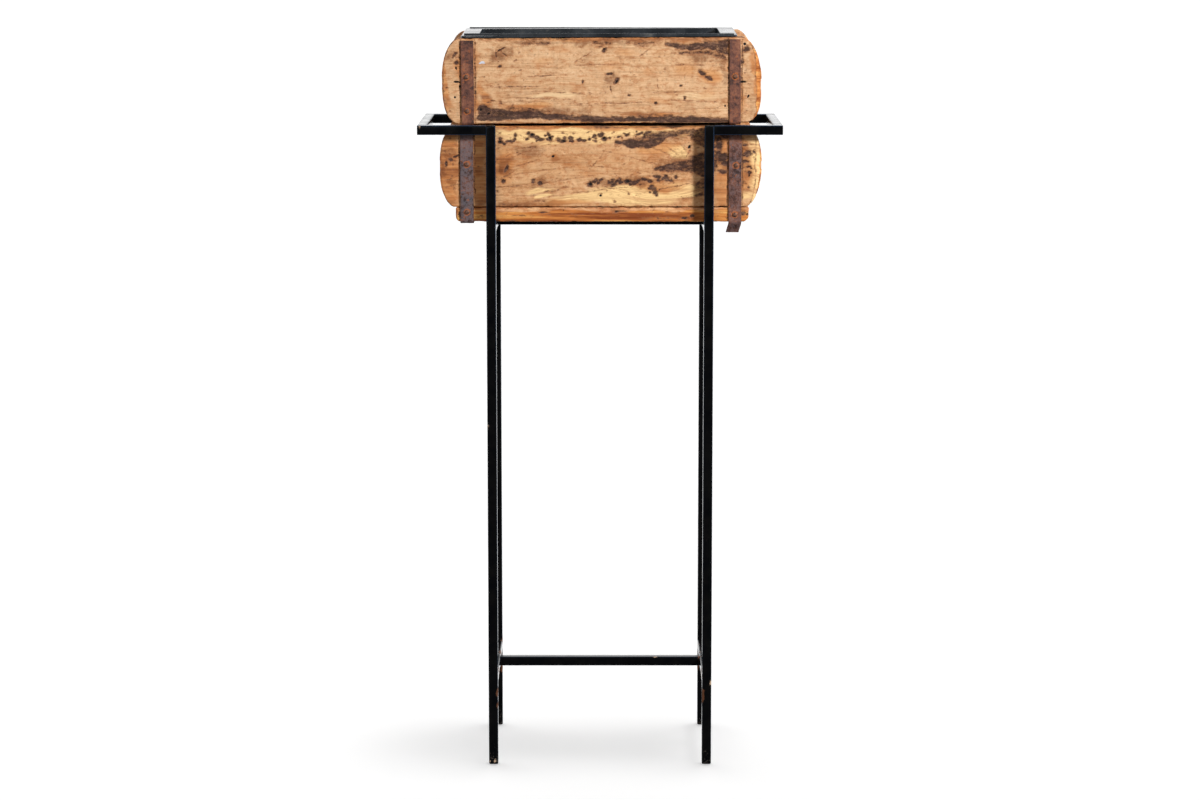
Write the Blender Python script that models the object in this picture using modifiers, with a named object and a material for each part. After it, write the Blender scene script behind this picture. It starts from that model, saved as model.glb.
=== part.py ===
"""Two old brick moulds stacked in a square-bar iron stand, with a sheet-metal liner in the upper one.

Metres, +X to the right, +Y to the back, +Z up. The origin is on the floor, midway between the legs.
"""

import math

import bmesh
import bpy
from mathutils import Matrix, Vector

# The stand
BAR = 0.010
BAR_EDGE = 0.0007
STAND_DEPTH = 0.180
LEG_SPAN = 0.237
LOOP_SPAN = 0.380
STAND_TOP = 0.682
STRETCHER_TOP = 0.098
BEARER_TOP = 0.580

# The moulds
GAP = 0.0003
MOULD_DEPTH = 0.153
SIDE_BOARD = 0.0155
END_BOARD = 0.0145
BOTTOM_BOARD = 0.0152
END_BOARD_SPAN = 0.287
LOWER_BOX_TOP = 0.6804
UPPER_BOX_HEIGHT = 0.0892
BACK_BOARD_EXTRA = 0.0012
UPPER_TILT = math.radians(0.3)
BOARD_EDGE = 0.0012
BOTTOM_EDGE = 0.0025
BOTTOM_LEFT = -0.1510
BOTTOM_RIGHT = 0.1560

# The rounded ends of the side boards: root x, reach, upper power, lower power, overshoot
LOWER_LEFT_EAR = (-0.1445, 0.0230, 2.6, 2.5, 1.04)
LOWER_RIGHT_EAR = (0.1470, 0.0220, 2.4, 2.1, 1.03)
UPPER_LEFT_EAR = (-0.1430, 0.0215, 2.2, 2.6, 1.01)
UPPER_RIGHT_EAR = (0.1465, 0.0220, 1.9, 3.0, 1.01)
EAR_STEPS = 9

# The straps and nails
STRAP = 0.0013
STRAP_BEND = 0.002
LOWER_STRAP_DROP = 0.003
UPPER_STRAP_DROP = 0.0025
LOWER_STRAP_LEFT = (-0.1460, -0.1318)
LOWER_STRAP_RIGHT = (0.1339, 0.1478)
UPPER_STRAP_LEFT = (-0.1444, -0.1308)
UPPER_STRAP_RIGHT = (0.1344, 0.1465)
TAB_FOLD = 0.001
TAB_BACK = 0.007
TAB_DOWN = 0.0115
TAB_LEAN = -0.0025
BREAK_WIDTH = 0.025
NAIL_HEAD_RADIUS = 0.0026
NAIL_HEAD = 0.0009
NAIL_SHANK_RADIUS = 0.0012
NAIL_LENGTH = 0.012
NAIL_SIDES = 12

# Rows of nails, each on the front and on the back: name, side, x, height, the board they hold in
LOWER_NAILS = (
    ("upper", "left", -0.1388, 0.6405, "side"),
    ("lower", "left", -0.1388, 0.5905, "bottom"),
    ("upper", "right", 0.1418, 0.6395, "side"),
    ("lower", "right", 0.1408, 0.5880, "bottom"),
)
UPPER_NAILS = (
    ("middle", "left", -0.1386, 0.7312, "side"),
    ("low", "left", -0.1380, 0.6958, "side"),
    ("middle", "right", 0.1408, 0.7305, "side"),
)

# The liner tray
SHEET = 0.0018
RIM_LEFT = -0.1440
RIM_RIGHT = 0.1430
RIM_OVERHANG = 0.0008
TRAY_WIDTH = 0.2564
TRAY_DEPTH = 0.1196
TRAY_HEIGHT = 0.075
TRAY_CORNER = 0.004
RIM_CORNER = 0.006

FRONT_FACE = -MOULD_DEPTH / 2
CAVITY_DEPTH = MOULD_DEPTH - 2 * SIDE_BOARD
LOWER_BOX_BOTTOM = BEARER_TOP + GAP
LOWER_SIDES_BOTTOM = LOWER_BOX_BOTTOM + BOTTOM_BOARD + GAP
UPPER_BOX_BOTTOM = LOWER_BOX_TOP + STRAP + 2 * GAP


def clear_scene():
    for obj in list(bpy.data.objects):
        bpy.data.objects.remove(obj, do_unlink=True)


def new_collection(name):
    collection = bpy.data.collections.new(name)
    bpy.context.scene.collection.children.link(collection)
    return collection


def make_material(name, colour, roughness, metallic):
    material = bpy.data.materials.new(name)
    material.use_nodes = True
    shader = material.node_tree.nodes["Principled BSDF"]
    shader.inputs["Base Color"].default_value = (*colour, 1.0)
    shader.inputs["Roughness"].default_value = roughness
    shader.inputs["Metallic"].default_value = metallic
    material.diffuse_color = (*colour, 1.0)
    return material


def add_object(name, data, material, parent=None, location=(0, 0, 0)):
    obj = bpy.data.objects.new(name, data)
    PARTS.objects.link(obj)
    obj.location = location
    obj.parent = parent
    if material is not None:
        obj.data.materials.append(material)
    return obj


def add_empty(name, matrix, parent=None):
    empty = bpy.data.objects.new(name, None)
    PARTS.objects.link(empty)
    empty.parent = parent
    empty.matrix_local = matrix
    return empty


def round_edges(obj, width, segments=2, angle=40):
    bevel = obj.modifiers.new("edges", "BEVEL")
    bevel.width = width
    bevel.segments = segments
    bevel.limit_method = "ANGLE"
    bevel.angle_limit = math.radians(angle)
    return bevel


def add_block(name, low, high, material, parent=None, edge=BAR_EDGE, segments=2):
    """A rectangular bar or board between two corners."""
    low = Vector(low)
    high = Vector(high)
    size = high - low
    mesh = bpy.data.meshes.new(name)
    bm = bmesh.new()
    bmesh.ops.create_cube(bm, size=1.0, matrix=Matrix.Diagonal((*size, 1.0)))
    bm.to_mesh(mesh)
    bm.free()
    obj = add_object(name, mesh, material, parent, (low + high) / 2)
    round_edges(obj, edge, segments)
    return obj


def ear_profile(reach, top_power, bottom_power, overshoot, half_height):
    """Points of a rounded board end, from its bottom to its top, as (how far out, height)."""
    points = []
    for step in range(-EAR_STEPS, EAR_STEPS + 1):
        angle = step / EAR_STEPS * math.pi / 2
        rise = math.sin(angle)
        power = top_power if rise > 0 else bottom_power
        share = abs(rise) / overshoot
        points.append((reach * (1 - share**power) ** (1 / power), rise * half_height))
    return points


def add_eared_board(name, ears, top, bottom, y_front, material, parent):
    """A side board whose two ends are rounded ears. Each ear is (root x, reach, powers, overshoot)."""
    half_height = (top - bottom) / 2
    left, right = ears
    outline = [(left[0] - out, height) for out, height in reversed(ear_profile(*left[1:], half_height))]
    outline += [(right[0] + out, height) for out, height in ear_profile(*right[1:], half_height)]
    curve = bpy.data.curves.new(name, "CURVE")
    curve.dimensions = "2D"
    curve.fill_mode = "BOTH"
    curve.extrude = SIDE_BOARD / 2
    spline = curve.splines.new("POLY")
    spline.points.add(len(outline) - 1)
    for point, (x, height) in zip(spline.points, outline):
        point.co = (x, height, 0, 1)
    spline.use_cyclic_u = True
    drawn = bpy.data.objects.new(name + "_outline", curve)
    PARTS.objects.link(drawn)
    drawn.rotation_euler.x = math.pi / 2
    drawn.location = (0, y_front + SIDE_BOARD / 2, (top + bottom) / 2)
    bpy.context.view_layer.update()
    mesh = bpy.data.meshes.new_from_object(drawn.evaluated_get(bpy.context.evaluated_depsgraph_get()))
    mesh.name = name
    mesh.transform(Matrix.Rotation(math.pi / 2, 4, "X"))
    bm = bmesh.new()
    bm.from_mesh(mesh)
    bmesh.ops.remove_doubles(bm, verts=bm.verts, dist=1e-6)
    bmesh.ops.recalc_face_normals(bm, faces=bm.faces)
    bm.to_mesh(mesh)
    bm.free()
    location = drawn.location.copy()
    bpy.data.objects.remove(drawn)
    bpy.data.curves.remove(curve)
    mesh.materials.clear()
    obj = add_object(name, mesh, material, parent, location)
    round_edges(obj, BOARD_EDGE)
    return obj


def rounded_path(corners, radius, steps=3):
    """A polyline through the corners, with each inner corner turned through a small arc."""
    points = [Vector(corners[0])]
    for before, corner, after in zip(corners, corners[1:], corners[2:]):
        corner = Vector(corner)
        start = corner + (Vector(before) - corner).normalized() * radius
        end = corner + (Vector(after) - corner).normalized() * radius
        for step in range(steps + 1):
            t = step / steps
            points.append(start * (1 - t) ** 2 + corner * 2 * t * (1 - t) + end * t**2)
    points.append(Vector(corners[-1]))
    return points


def add_strap(name, corners, x_low, x_high, material, parent, lean=0.0):
    """A flat iron strip: a path in Y and Z swept across X and thickened outwards.

    lean moves the path's last point along X, for an end that hangs askew.
    """
    path = rounded_path(corners, STRAP_BEND)
    mesh = bpy.data.meshes.new(name)
    bm = bmesh.new()
    near = [bm.verts.new((x_low, y, z)) for y, z in path]
    near[-1].co.x += lean
    edges = [bm.edges.new(pair) for pair in zip(near, near[1:])]
    swept = bmesh.ops.extrude_edge_only(bm, edges=edges)["geom"]
    far = [item for item in swept if isinstance(item, bmesh.types.BMVert)]
    bmesh.ops.translate(bm, verts=far, vec=(x_high - x_low, 0, 0))
    bmesh.ops.recalc_face_normals(bm, faces=bm.faces)
    bm.to_mesh(mesh)
    bm.free()
    obj = add_object(name, mesh, material, parent)
    solid = obj.modifiers.new("thickness", "SOLIDIFY")
    solid.thickness = STRAP
    solid.offset = 0
    solid.use_even_offset = True
    return obj


def add_nail(name, x, z, facing, strap_face, cut, material, parent):
    """A round-headed nail through the strap. facing is -1 on the front and +1 on the back."""
    head_base = NAIL_HEAD * 0.35
    profile = [
        (0, NAIL_HEAD),
        (NAIL_HEAD_RADIUS * 0.65, NAIL_HEAD * 0.85),
        (NAIL_HEAD_RADIUS, head_base),
        (NAIL_HEAD_RADIUS, 0),
        (NAIL_SHANK_RADIUS, 0),
        (NAIL_SHANK_RADIUS, -NAIL_LENGTH * 0.85),
        (0, -NAIL_LENGTH),
    ]
    mesh = bpy.data.meshes.new(name)
    bm = bmesh.new()
    verts = [bm.verts.new((radius, 0, height)) for radius, height in profile]
    for pair in zip(verts, verts[1:]):
        bm.edges.new(pair)
    bm.to_mesh(mesh)
    bm.free()
    face_y = facing * (strap_face + GAP)
    nail = add_object(name, mesh, material, parent, (x, face_y, z))
    nail.rotation_euler.x = -facing * math.pi / 2
    screw = nail.modifiers.new("turn", "SCREW")
    screw.steps = NAIL_SIDES
    screw.render_steps = NAIL_SIDES
    screw.use_merge_vertices = True
    screw.merge_threshold = 0.0001
    screw.use_smooth_shade = True
    hole = bpy.data.meshes.new(name + "_hole")
    bm = bmesh.new()
    bmesh.ops.create_cone(
        bm,
        cap_ends=True,
        segments=NAIL_SIDES,
        radius1=NAIL_SHANK_RADIUS + GAP,
        radius2=NAIL_SHANK_RADIUS + GAP,
        depth=2 * (NAIL_LENGTH + GAP),
    )
    bm.to_mesh(hole)
    bm.free()
    cutter = bpy.data.objects.new(name + "_hole", hole)
    CUTTERS.objects.link(cutter)
    cutter.parent = parent
    cutter.location = nail.location
    cutter.rotation_euler = nail.rotation_euler
    cutter.hide_render = True
    cutter.display_type = "WIRE"
    for target in cut:
        boolean = target.modifiers.new(name, "BOOLEAN")
        boolean.operation = "DIFFERENCE"
        boolean.object = cutter
    return nail


def build_stand(paint):
    """The welded stand: four legs, two handle loops and two H frames."""
    leg_outer = LEG_SPAN / 2
    leg_inner = leg_outer - BAR
    y_outer = STAND_DEPTH / 2
    y_inner = y_outer - BAR
    for side, sign in (("left", -1), ("right", 1)):
        legs_x = sorted((sign * leg_outer, sign * leg_inner))
        for depth, facing in (("front", -1), ("back", 1)):
            bar_y = sorted((facing * y_outer, facing * y_inner))
            low = (legs_x[0], bar_y[0], 0)
            high = (legs_x[1], bar_y[1], STAND_TOP)
            add_block(f"leg_{depth}_{side}", low, high, paint)
            reach_x = sorted((sign * (leg_outer + GAP), sign * LOOP_SPAN / 2))
            low = (reach_x[0], bar_y[0], STAND_TOP - BAR)
            high = (reach_x[1], bar_y[1], STAND_TOP)
            add_block(f"handle_{depth}_bar_{side}", low, high, paint)
        loop_x = sorted((sign * LOOP_SPAN / 2, sign * (LOOP_SPAN / 2 - BAR)))
        between = y_inner - GAP
        low = (loop_x[0], -between, STAND_TOP - BAR)
        high = (loop_x[1], between, STAND_TOP)
        add_block(f"handle_side_bar_{side}", low, high, paint)
        for name, top in (("lower_stretcher", STRETCHER_TOP), ("box_bearer", BEARER_TOP)):
            low = (legs_x[0], -between, top - BAR)
            high = (legs_x[1], between, top)
            add_block(f"{name}_{side}", low, high, paint)
    across = leg_inner - GAP
    for name, top in (("lower_cross_bar", STRETCHER_TOP), ("bearer_cross_bar", BEARER_TOP)):
        add_block(name, (-across, -BAR / 2, top - BAR), (across, BAR / 2, top), paint)


def build_ends(prefix, bottom, top, wood, parent):
    """The two boards that close a mould's ends, between its side boards."""
    half_depth = CAVITY_DEPTH / 2 - GAP
    for side, sign in (("left", -1), ("right", 1)):
        x = sorted((sign * END_BOARD_SPAN / 2, sign * (END_BOARD_SPAN / 2 - END_BOARD)))
        low = (x[0], -half_depth, bottom)
        high = (x[1], half_depth, top)
        add_block(f"{prefix}_end_board_{side}", low, high, wood, parent, BOARD_EDGE)


def strap_u(bottom, top):
    """The middle line of a strap that goes down the front, under the box and up the back."""
    y = strap_middle()
    z = bottom - GAP - STRAP / 2
    return [(-y, top), (-y, z), (y, z), (y, top)]


def strap_middle():
    return MOULD_DEPTH / 2 + GAP + STRAP / 2


def add_nail_rows(prefix, rows, boards, strap_of, nail_iron, parent):
    """Each row of nails, through the strap and into its board, on the front and on the back."""
    strap_face = MOULD_DEPTH / 2 + GAP + STRAP
    for name, side, x, z, board in rows:
        for depth, facing in (("front", -1), ("back", 1)):
            target = boards[board] if board == "bottom" else boards[depth]
            cut = (target, strap_of[side, depth])
            nail_name = f"{prefix}_nail_{side}_{name}_{depth}"
            add_nail(nail_name, x, z, facing, strap_face, cut, nail_iron, parent)


def build_lower_box(wood, strap_iron, nail_iron, parent):
    """The lower mould: a box with a bottom, its right strap broken at the front lower edge."""
    boards = {}
    for depth, y in (("front", FRONT_FACE), ("back", -FRONT_FACE - SIDE_BOARD)):
        boards[depth] = add_eared_board(
            f"lower_{depth}_board",
            (LOWER_LEFT_EAR, LOWER_RIGHT_EAR),
            LOWER_BOX_TOP,
            LOWER_SIDES_BOTTOM,
            y,
            wood,
            parent,
        )
    build_ends("lower", LOWER_SIDES_BOTTOM, LOWER_BOX_TOP, wood, parent)
    low = (BOTTOM_LEFT, FRONT_FACE, LOWER_BOX_BOTTOM)
    high = (BOTTOM_RIGHT, -FRONT_FACE, LOWER_BOX_BOTTOM + BOTTOM_BOARD)
    boards["bottom"] = add_block("lower_bottom_board", low, high, wood, parent, BOTTOM_EDGE, 3)
    strap_top = LOWER_BOX_TOP - LOWER_STRAP_DROP
    path = strap_u(LOWER_BOX_BOTTOM, strap_top)
    left = add_strap("lower_strap_left", path, *LOWER_STRAP_LEFT, strap_iron, parent)
    y = strap_middle()
    tab = [(-y, strap_top), (-y, LOWER_BOX_BOTTOM - TAB_FOLD), (-y + TAB_BACK, LOWER_BOX_BOTTOM - TAB_DOWN)]
    right = add_strap("lower_strap_right_front", tab, *LOWER_STRAP_RIGHT, strap_iron, parent, lean=TAB_LEAN)
    under = LOWER_BOX_BOTTOM - GAP - STRAP / 2
    rest = [(-y + BREAK_WIDTH, under), (y, under), (y, strap_top)]
    rest_obj = add_strap("lower_strap_right_back", rest, *LOWER_STRAP_RIGHT, strap_iron, parent)
    straps = {
        ("left", "front"): left,
        ("left", "back"): left,
        ("right", "front"): right,
        ("right", "back"): rest_obj,
    }
    add_nail_rows("lower", LOWER_NAILS, boards, straps, nail_iron, parent)


def build_upper_box(wood, strap_iron, nail_iron, parent):
    """The upper mould: four boards held by two straps, open at the top and bottom."""
    top = UPPER_BOX_BOTTOM + UPPER_BOX_HEIGHT
    boards = {}
    for depth, y, extra in (
        ("front", FRONT_FACE, 0),
        ("back", -FRONT_FACE - SIDE_BOARD, BACK_BOARD_EXTRA),
    ):
        boards[depth] = add_eared_board(
            f"upper_{depth}_board",
            (UPPER_LEFT_EAR, UPPER_RIGHT_EAR),
            top + extra,
            UPPER_BOX_BOTTOM,
            y,
            wood,
            parent,
        )
    build_ends("upper", UPPER_BOX_BOTTOM, top, wood, parent)
    path = strap_u(UPPER_BOX_BOTTOM, top - UPPER_STRAP_DROP)
    left = add_strap("upper_strap_left", path, *UPPER_STRAP_LEFT, strap_iron, parent)
    right = add_strap("upper_strap_right", path, *UPPER_STRAP_RIGHT, strap_iron, parent)
    straps = {(side, depth): obj for side, obj in (("left", left), ("right", right)) for depth in ("front", "back")}
    add_nail_rows("upper", UPPER_NAILS, boards, straps, nail_iron, parent)


def build_liner(paint, parent):
    """A sheet-metal tray: a tub folded from one sheet, with a flat rim that lies on the board tops.

    It leans back a little, because the back board is the taller one.
    """
    rim_top = UPPER_BOX_BOTTOM + UPPER_BOX_HEIGHT + BACK_BOARD_EXTRA / 2 + 2 * GAP + SHEET
    half_x = TRAY_WIDTH / 2 - SHEET
    half_y = TRAY_DEPTH / 2 - SHEET
    mesh = bpy.data.meshes.new("liner_tray")
    bm = bmesh.new()
    size = (2 * half_x, 2 * half_y, TRAY_HEIGHT, 1.0)
    bmesh.ops.create_cube(bm, size=1.0, matrix=Matrix.Diagonal(size))
    bmesh.ops.translate(bm, verts=bm.verts, vec=(0, 0, -TRAY_HEIGHT / 2))
    top_face = max(bm.faces, key=lambda face: face.calc_center_median().z)
    upright = [edge for edge in bm.edges if abs(edge.verts[0].co.z - edge.verts[1].co.z) > TRAY_HEIGHT / 2]
    bmesh.ops.delete(bm, geom=[top_face], context="FACES_ONLY")
    bmesh.ops.bevel(bm, geom=upright, offset=TRAY_CORNER, segments=3, affect="EDGES", profile=0.5)
    mouth = [edge for edge in bm.edges if edge.is_boundary]
    spread = bmesh.ops.extrude_edge_only(bm, edges=mouth)["geom"]
    rim_y = MOULD_DEPTH / 2 + RIM_OVERHANG
    for vert in (item for item in spread if isinstance(item, bmesh.types.BMVert)):
        rim_x = RIM_RIGHT if vert.co.x > 0 else -RIM_LEFT
        inset = Vector((half_x - abs(vert.co.x), half_y - abs(vert.co.y))) * (RIM_CORNER / TRAY_CORNER)
        vert.co.x = math.copysign(rim_x - inset.x, vert.co.x)
        vert.co.y = math.copysign(rim_y - inset.y, vert.co.y)
    bmesh.ops.recalc_face_normals(bm, faces=bm.faces)
    bm.to_mesh(mesh)
    bm.free()
    tray = add_object("liner_tray", mesh, paint, parent, (0, 0, rim_top))
    tray.rotation_euler.x = math.atan(BACK_BOARD_EXTRA / MOULD_DEPTH)
    solid = tray.modifiers.new("sheet", "SOLIDIFY")
    solid.thickness = SHEET
    solid.offset = -1
    solid.use_even_offset = True
    return tray


def build_table():
    black = make_material("black_paint", (0.012, 0.012, 0.014), 0.35, 0.0)
    liner_black = make_material("liner_paint", (0.03, 0.032, 0.036), 0.3, 0.0)
    pale_wood = make_material("upper_mould_wood", (0.62, 0.38, 0.19), 0.75, 0.0)
    amber_wood = make_material("lower_mould_wood", (0.58, 0.31, 0.13), 0.75, 0.0)
    rusted = make_material("rusted_strap_iron", (0.17, 0.09, 0.07), 0.8, 0.5)
    nail_iron = make_material("nail_iron", (0.2, 0.18, 0.17), 0.6, 0.7)

    build_stand(black)
    lower_lift = add_empty("lower_box_lift", Matrix.Identity(4))
    build_lower_box(amber_wood, rusted, nail_iron, lower_lift)
    pivot = Vector((-END_BOARD_SPAN / 2, 0, UPPER_BOX_BOTTOM))
    tilt = Matrix.Translation(pivot) @ Matrix.Rotation(-UPPER_TILT, 4, "Y") @ Matrix.Translation(-pivot)
    upper_lift = add_empty("upper_box_lift", tilt, lower_lift)
    build_upper_box(pale_wood, rusted, nail_iron, upper_lift)
    liner_lift = add_empty("liner_lift", Matrix.Identity(4), upper_lift)
    build_liner(liner_black, liner_lift)


clear_scene()
PARTS = new_collection("brick_mould_table")
CUTTERS = new_collection("cutters")
build_table()
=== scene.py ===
"""The looks of the brick-mould table: worn boards, rusted straps, chipped black paint, floor and light."""

import math

import bmesh
import bpy
import numpy as np
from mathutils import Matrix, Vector


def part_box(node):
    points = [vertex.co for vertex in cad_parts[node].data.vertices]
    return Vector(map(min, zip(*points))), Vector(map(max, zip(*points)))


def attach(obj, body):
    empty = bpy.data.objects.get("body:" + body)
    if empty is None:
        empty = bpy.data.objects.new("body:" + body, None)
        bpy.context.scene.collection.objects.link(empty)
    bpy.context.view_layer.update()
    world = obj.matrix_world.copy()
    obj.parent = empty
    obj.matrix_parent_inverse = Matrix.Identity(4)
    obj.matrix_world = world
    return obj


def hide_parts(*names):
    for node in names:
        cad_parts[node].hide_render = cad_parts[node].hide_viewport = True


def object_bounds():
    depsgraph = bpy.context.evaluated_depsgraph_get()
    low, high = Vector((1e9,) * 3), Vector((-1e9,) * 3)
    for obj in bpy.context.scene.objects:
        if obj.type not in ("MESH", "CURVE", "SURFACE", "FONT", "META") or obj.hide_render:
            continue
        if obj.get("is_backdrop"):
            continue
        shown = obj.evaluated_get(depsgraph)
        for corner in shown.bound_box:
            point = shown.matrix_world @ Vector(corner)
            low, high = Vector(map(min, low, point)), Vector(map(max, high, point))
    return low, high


MM = 0.001

# Mesh sizes
FINE = 1.0 * MM
MEDIUM = 2.0 * MM
BOTTOM_STEP = 1.6 * MM
STRAP_STEP = 1.2 * MM
BAR_STEP = 6.0 * MM
HEM_STEP = 4.0 * MM
TRAY_STEP = 7.0 * MM

# Rounding of edges
BOARD_ROUND = 1.4 * MM
STRAP_ROUND = 0.45 * MM
STRAP_END_ROUND = 0.4 * MM
BAR_ROUND = 0.9 * MM
FOOT_ROUND = 2.0 * MM
HANDLE_ROUND = 0.7 * MM
HEM_ROUND = 0.22 * MM
OUTLINE_INSET = 0.15 * MM

# Straps and nails. The tab is the loose end of the lower right strap, and leans to the left.
STRAP_THICKNESS = 1.3 * MM
STRAP_BEND = 2.2 * MM
STRAP_WIDTHS = {
    "upper_left": 13.6 * MM,
    "upper_right": 12.1 * MM,
    "lower_left": 14.2 * MM,
    "lower_right": 13.9 * MM,
}
TAB_LEAN = -2.5 * MM
TAB_REACH = 12 * MM
HEAD_THICKNESS = 0.85 * MM
HEAD_SIDES = 28
# From the middle of a nail's head outwards: the share of its radius, and its depth in head thicknesses
HEAD_PROFILE = (
    (0.0, 0.0), (0.35, 0.04), (0.62, 0.14), (0.84, 0.34), (0.97, 0.66), (1.0, 0.95), (0.94, 1.15), (0.4, 1.3),
)

# The stand
SIDES = (("left", -1), ("right", 1))
DEPTHS = (("front", -1), ("back", 1))
CROSS_BARS = {"lower_cross_bar": "lower_stretcher", "bearer_cross_bar": "box_bearer"}
WELD_GAP = 0.3 * MM
WELD_LENGTH = 8.6 * MM
WELD_ROOT = 0.4 * MM
WELD_ROWS = 15
WELD_STEPS = 6

# The liner. Its rim is RIM_DEPTH wide at front and back, and what's within RIM_REACH of its top waves.
HEM_INSET = 3.5 * MM
HEM_THICKNESS = 0.7 * MM
HEM_HEIGHT = 2.7 * MM
RIM_DEPTH = 17.5 * MM
RIM_REACH = 6 * MM

# Light and camera. Angles are in degrees, the camera's places in metres and its lens in millimetres.
KEY_COLOUR = (1.0, 0.985, 0.96)
KEY_POWER = 112.0
FILL_COLOUR = (1.0, 0.93, 0.86)
FILL_POWER = 26.0
SIDE_COLOUR = (0.55, 0.75, 1.0)
SIDE_POWER = 16.0
OVERHEAD_POWER = 0.85
OVERHEAD_SPREAD = 13
OVERHEAD_TILT = 5
WORLD_FRONT = 0.12
WORLD_BEHIND = 1.6
FLOOR_GLOW = 0.40
WHITE = (1.0, 1.0, 1.0)
CAMERA_DISTANCE = 3.5
CAMERA_HEIGHT = 0.937
CAMERA_PITCH = 8.82
CAMERA_LENS = 101.2

# The channels that are painted on the boards, in the attributes marks and tone
DARK, PIT, WARM, GLOW = range(4)
RUDDY, DUSK, CHALK = range(3)


# ---------------------------------------------------------------- repeatable noise for meshes


def lattice(i, j, seed):
    """A repeatable number from 0 to 1 for each whole-number cell."""
    h = (i * 374761393 + j * 668265263 + seed * 974634777) & 0xFFFFFFFF
    h = ((h ^ (h >> 13)) * 1274126177) & 0xFFFFFFFF
    return ((h ^ (h >> 16)) & 0xFFFF) / 65535.0


def smooth_noise(x, y, seed):
    i = np.floor(x).astype(np.int64)
    j = np.floor(y).astype(np.int64)
    fx = ease(0, 1, x - i)
    fy = ease(0, 1, y - j)
    low = lattice(i, j, seed) * (1 - fx) + lattice(i + 1, j, seed) * fx
    high = lattice(i, j + 1, seed) * (1 - fx) + lattice(i + 1, j + 1, seed) * fx
    return low * (1 - fy) + high * fy


def fractal(x, y, seed, octaves=4):
    """Layered noise from 0 to 1, with a mean near 0.5."""
    total = np.zeros_like(x)
    for k in range(octaves):
        total += 0.5**k * smooth_noise(x * 2.0**k + 17.3 * k, y * 2.0**k + 5.1 * k, seed + k)
    return total / (2 - 0.5 ** (octaves - 1))


def ease(low, high, value):
    t = np.clip((value - low) / (high - low), 0, 1)
    return t * t * (3 - 2 * t)


# ---------------------------------------------------------------- meshes


def linked(name, data):
    """A new object in the scene for a mesh, a light or a camera."""
    obj = bpy.data.objects.new(name, data)
    bpy.context.scene.collection.objects.link(obj)
    return obj


def add_object(name, mesh, material, sharp=None):
    """A smooth object of one material. Edges that turn by more than sharp degrees stay crisp."""
    mesh.shade_smooth()
    if sharp is not None:
        mesh.set_sharp_from_angle(angle=math.radians(sharp))
    mesh.materials.append(material)
    return linked(name, mesh)


def mesh_of(name, bm):
    """Turns a bmesh into a mesh with its normals outwards."""
    bmesh.ops.recalc_face_normals(bm, faces=bm.faces)
    mesh = bpy.data.meshes.new(name)
    bm.to_mesh(mesh)
    bm.free()
    return mesh


def bridge(bm, rings):
    """Joins closed rings of the same number of vertices with quads."""
    for first, second in zip(rings, rings[1:]):
        for k in range(len(first)):
            nxt = (k + 1) % len(first)
            bm.faces.new((first[k], second[k], second[nxt], first[nxt]))


def hull_2d(points):
    """The convex outline of a set of points, as two chains from left to right: (lower, upper)."""
    points = sorted(set(map(tuple, np.round(points, 7))))

    def chain(turn):
        kept = []
        for p in points:
            while len(kept) > 1:
                (ax, ay), (bx, by) = kept[-2:]
                if turn * ((bx - ax) * (p[1] - ay) - (by - ay) * (p[0] - ax)) > 0:
                    break
                kept.pop()
            kept.append(p)
        return np.array(kept)

    return chain(1), chain(-1)


def end_growing(length, step, first=0.2 * MM, growth=1.45):
    """Places along a length, close together at both ends and a step apart in the middle."""
    ends = [0.0]
    gap = first
    while gap < step and ends[-1] < length / 2:
        ends.append(ends[-1] + gap)
        gap *= growth
    middle = length - 2 * ends[-1]
    count = max(2, round(middle / step))
    inner = [ends[-1] + middle * k / count for k in range(1, count)]
    return np.array(ends + inner + [length - d for d in reversed(ends)])


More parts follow.
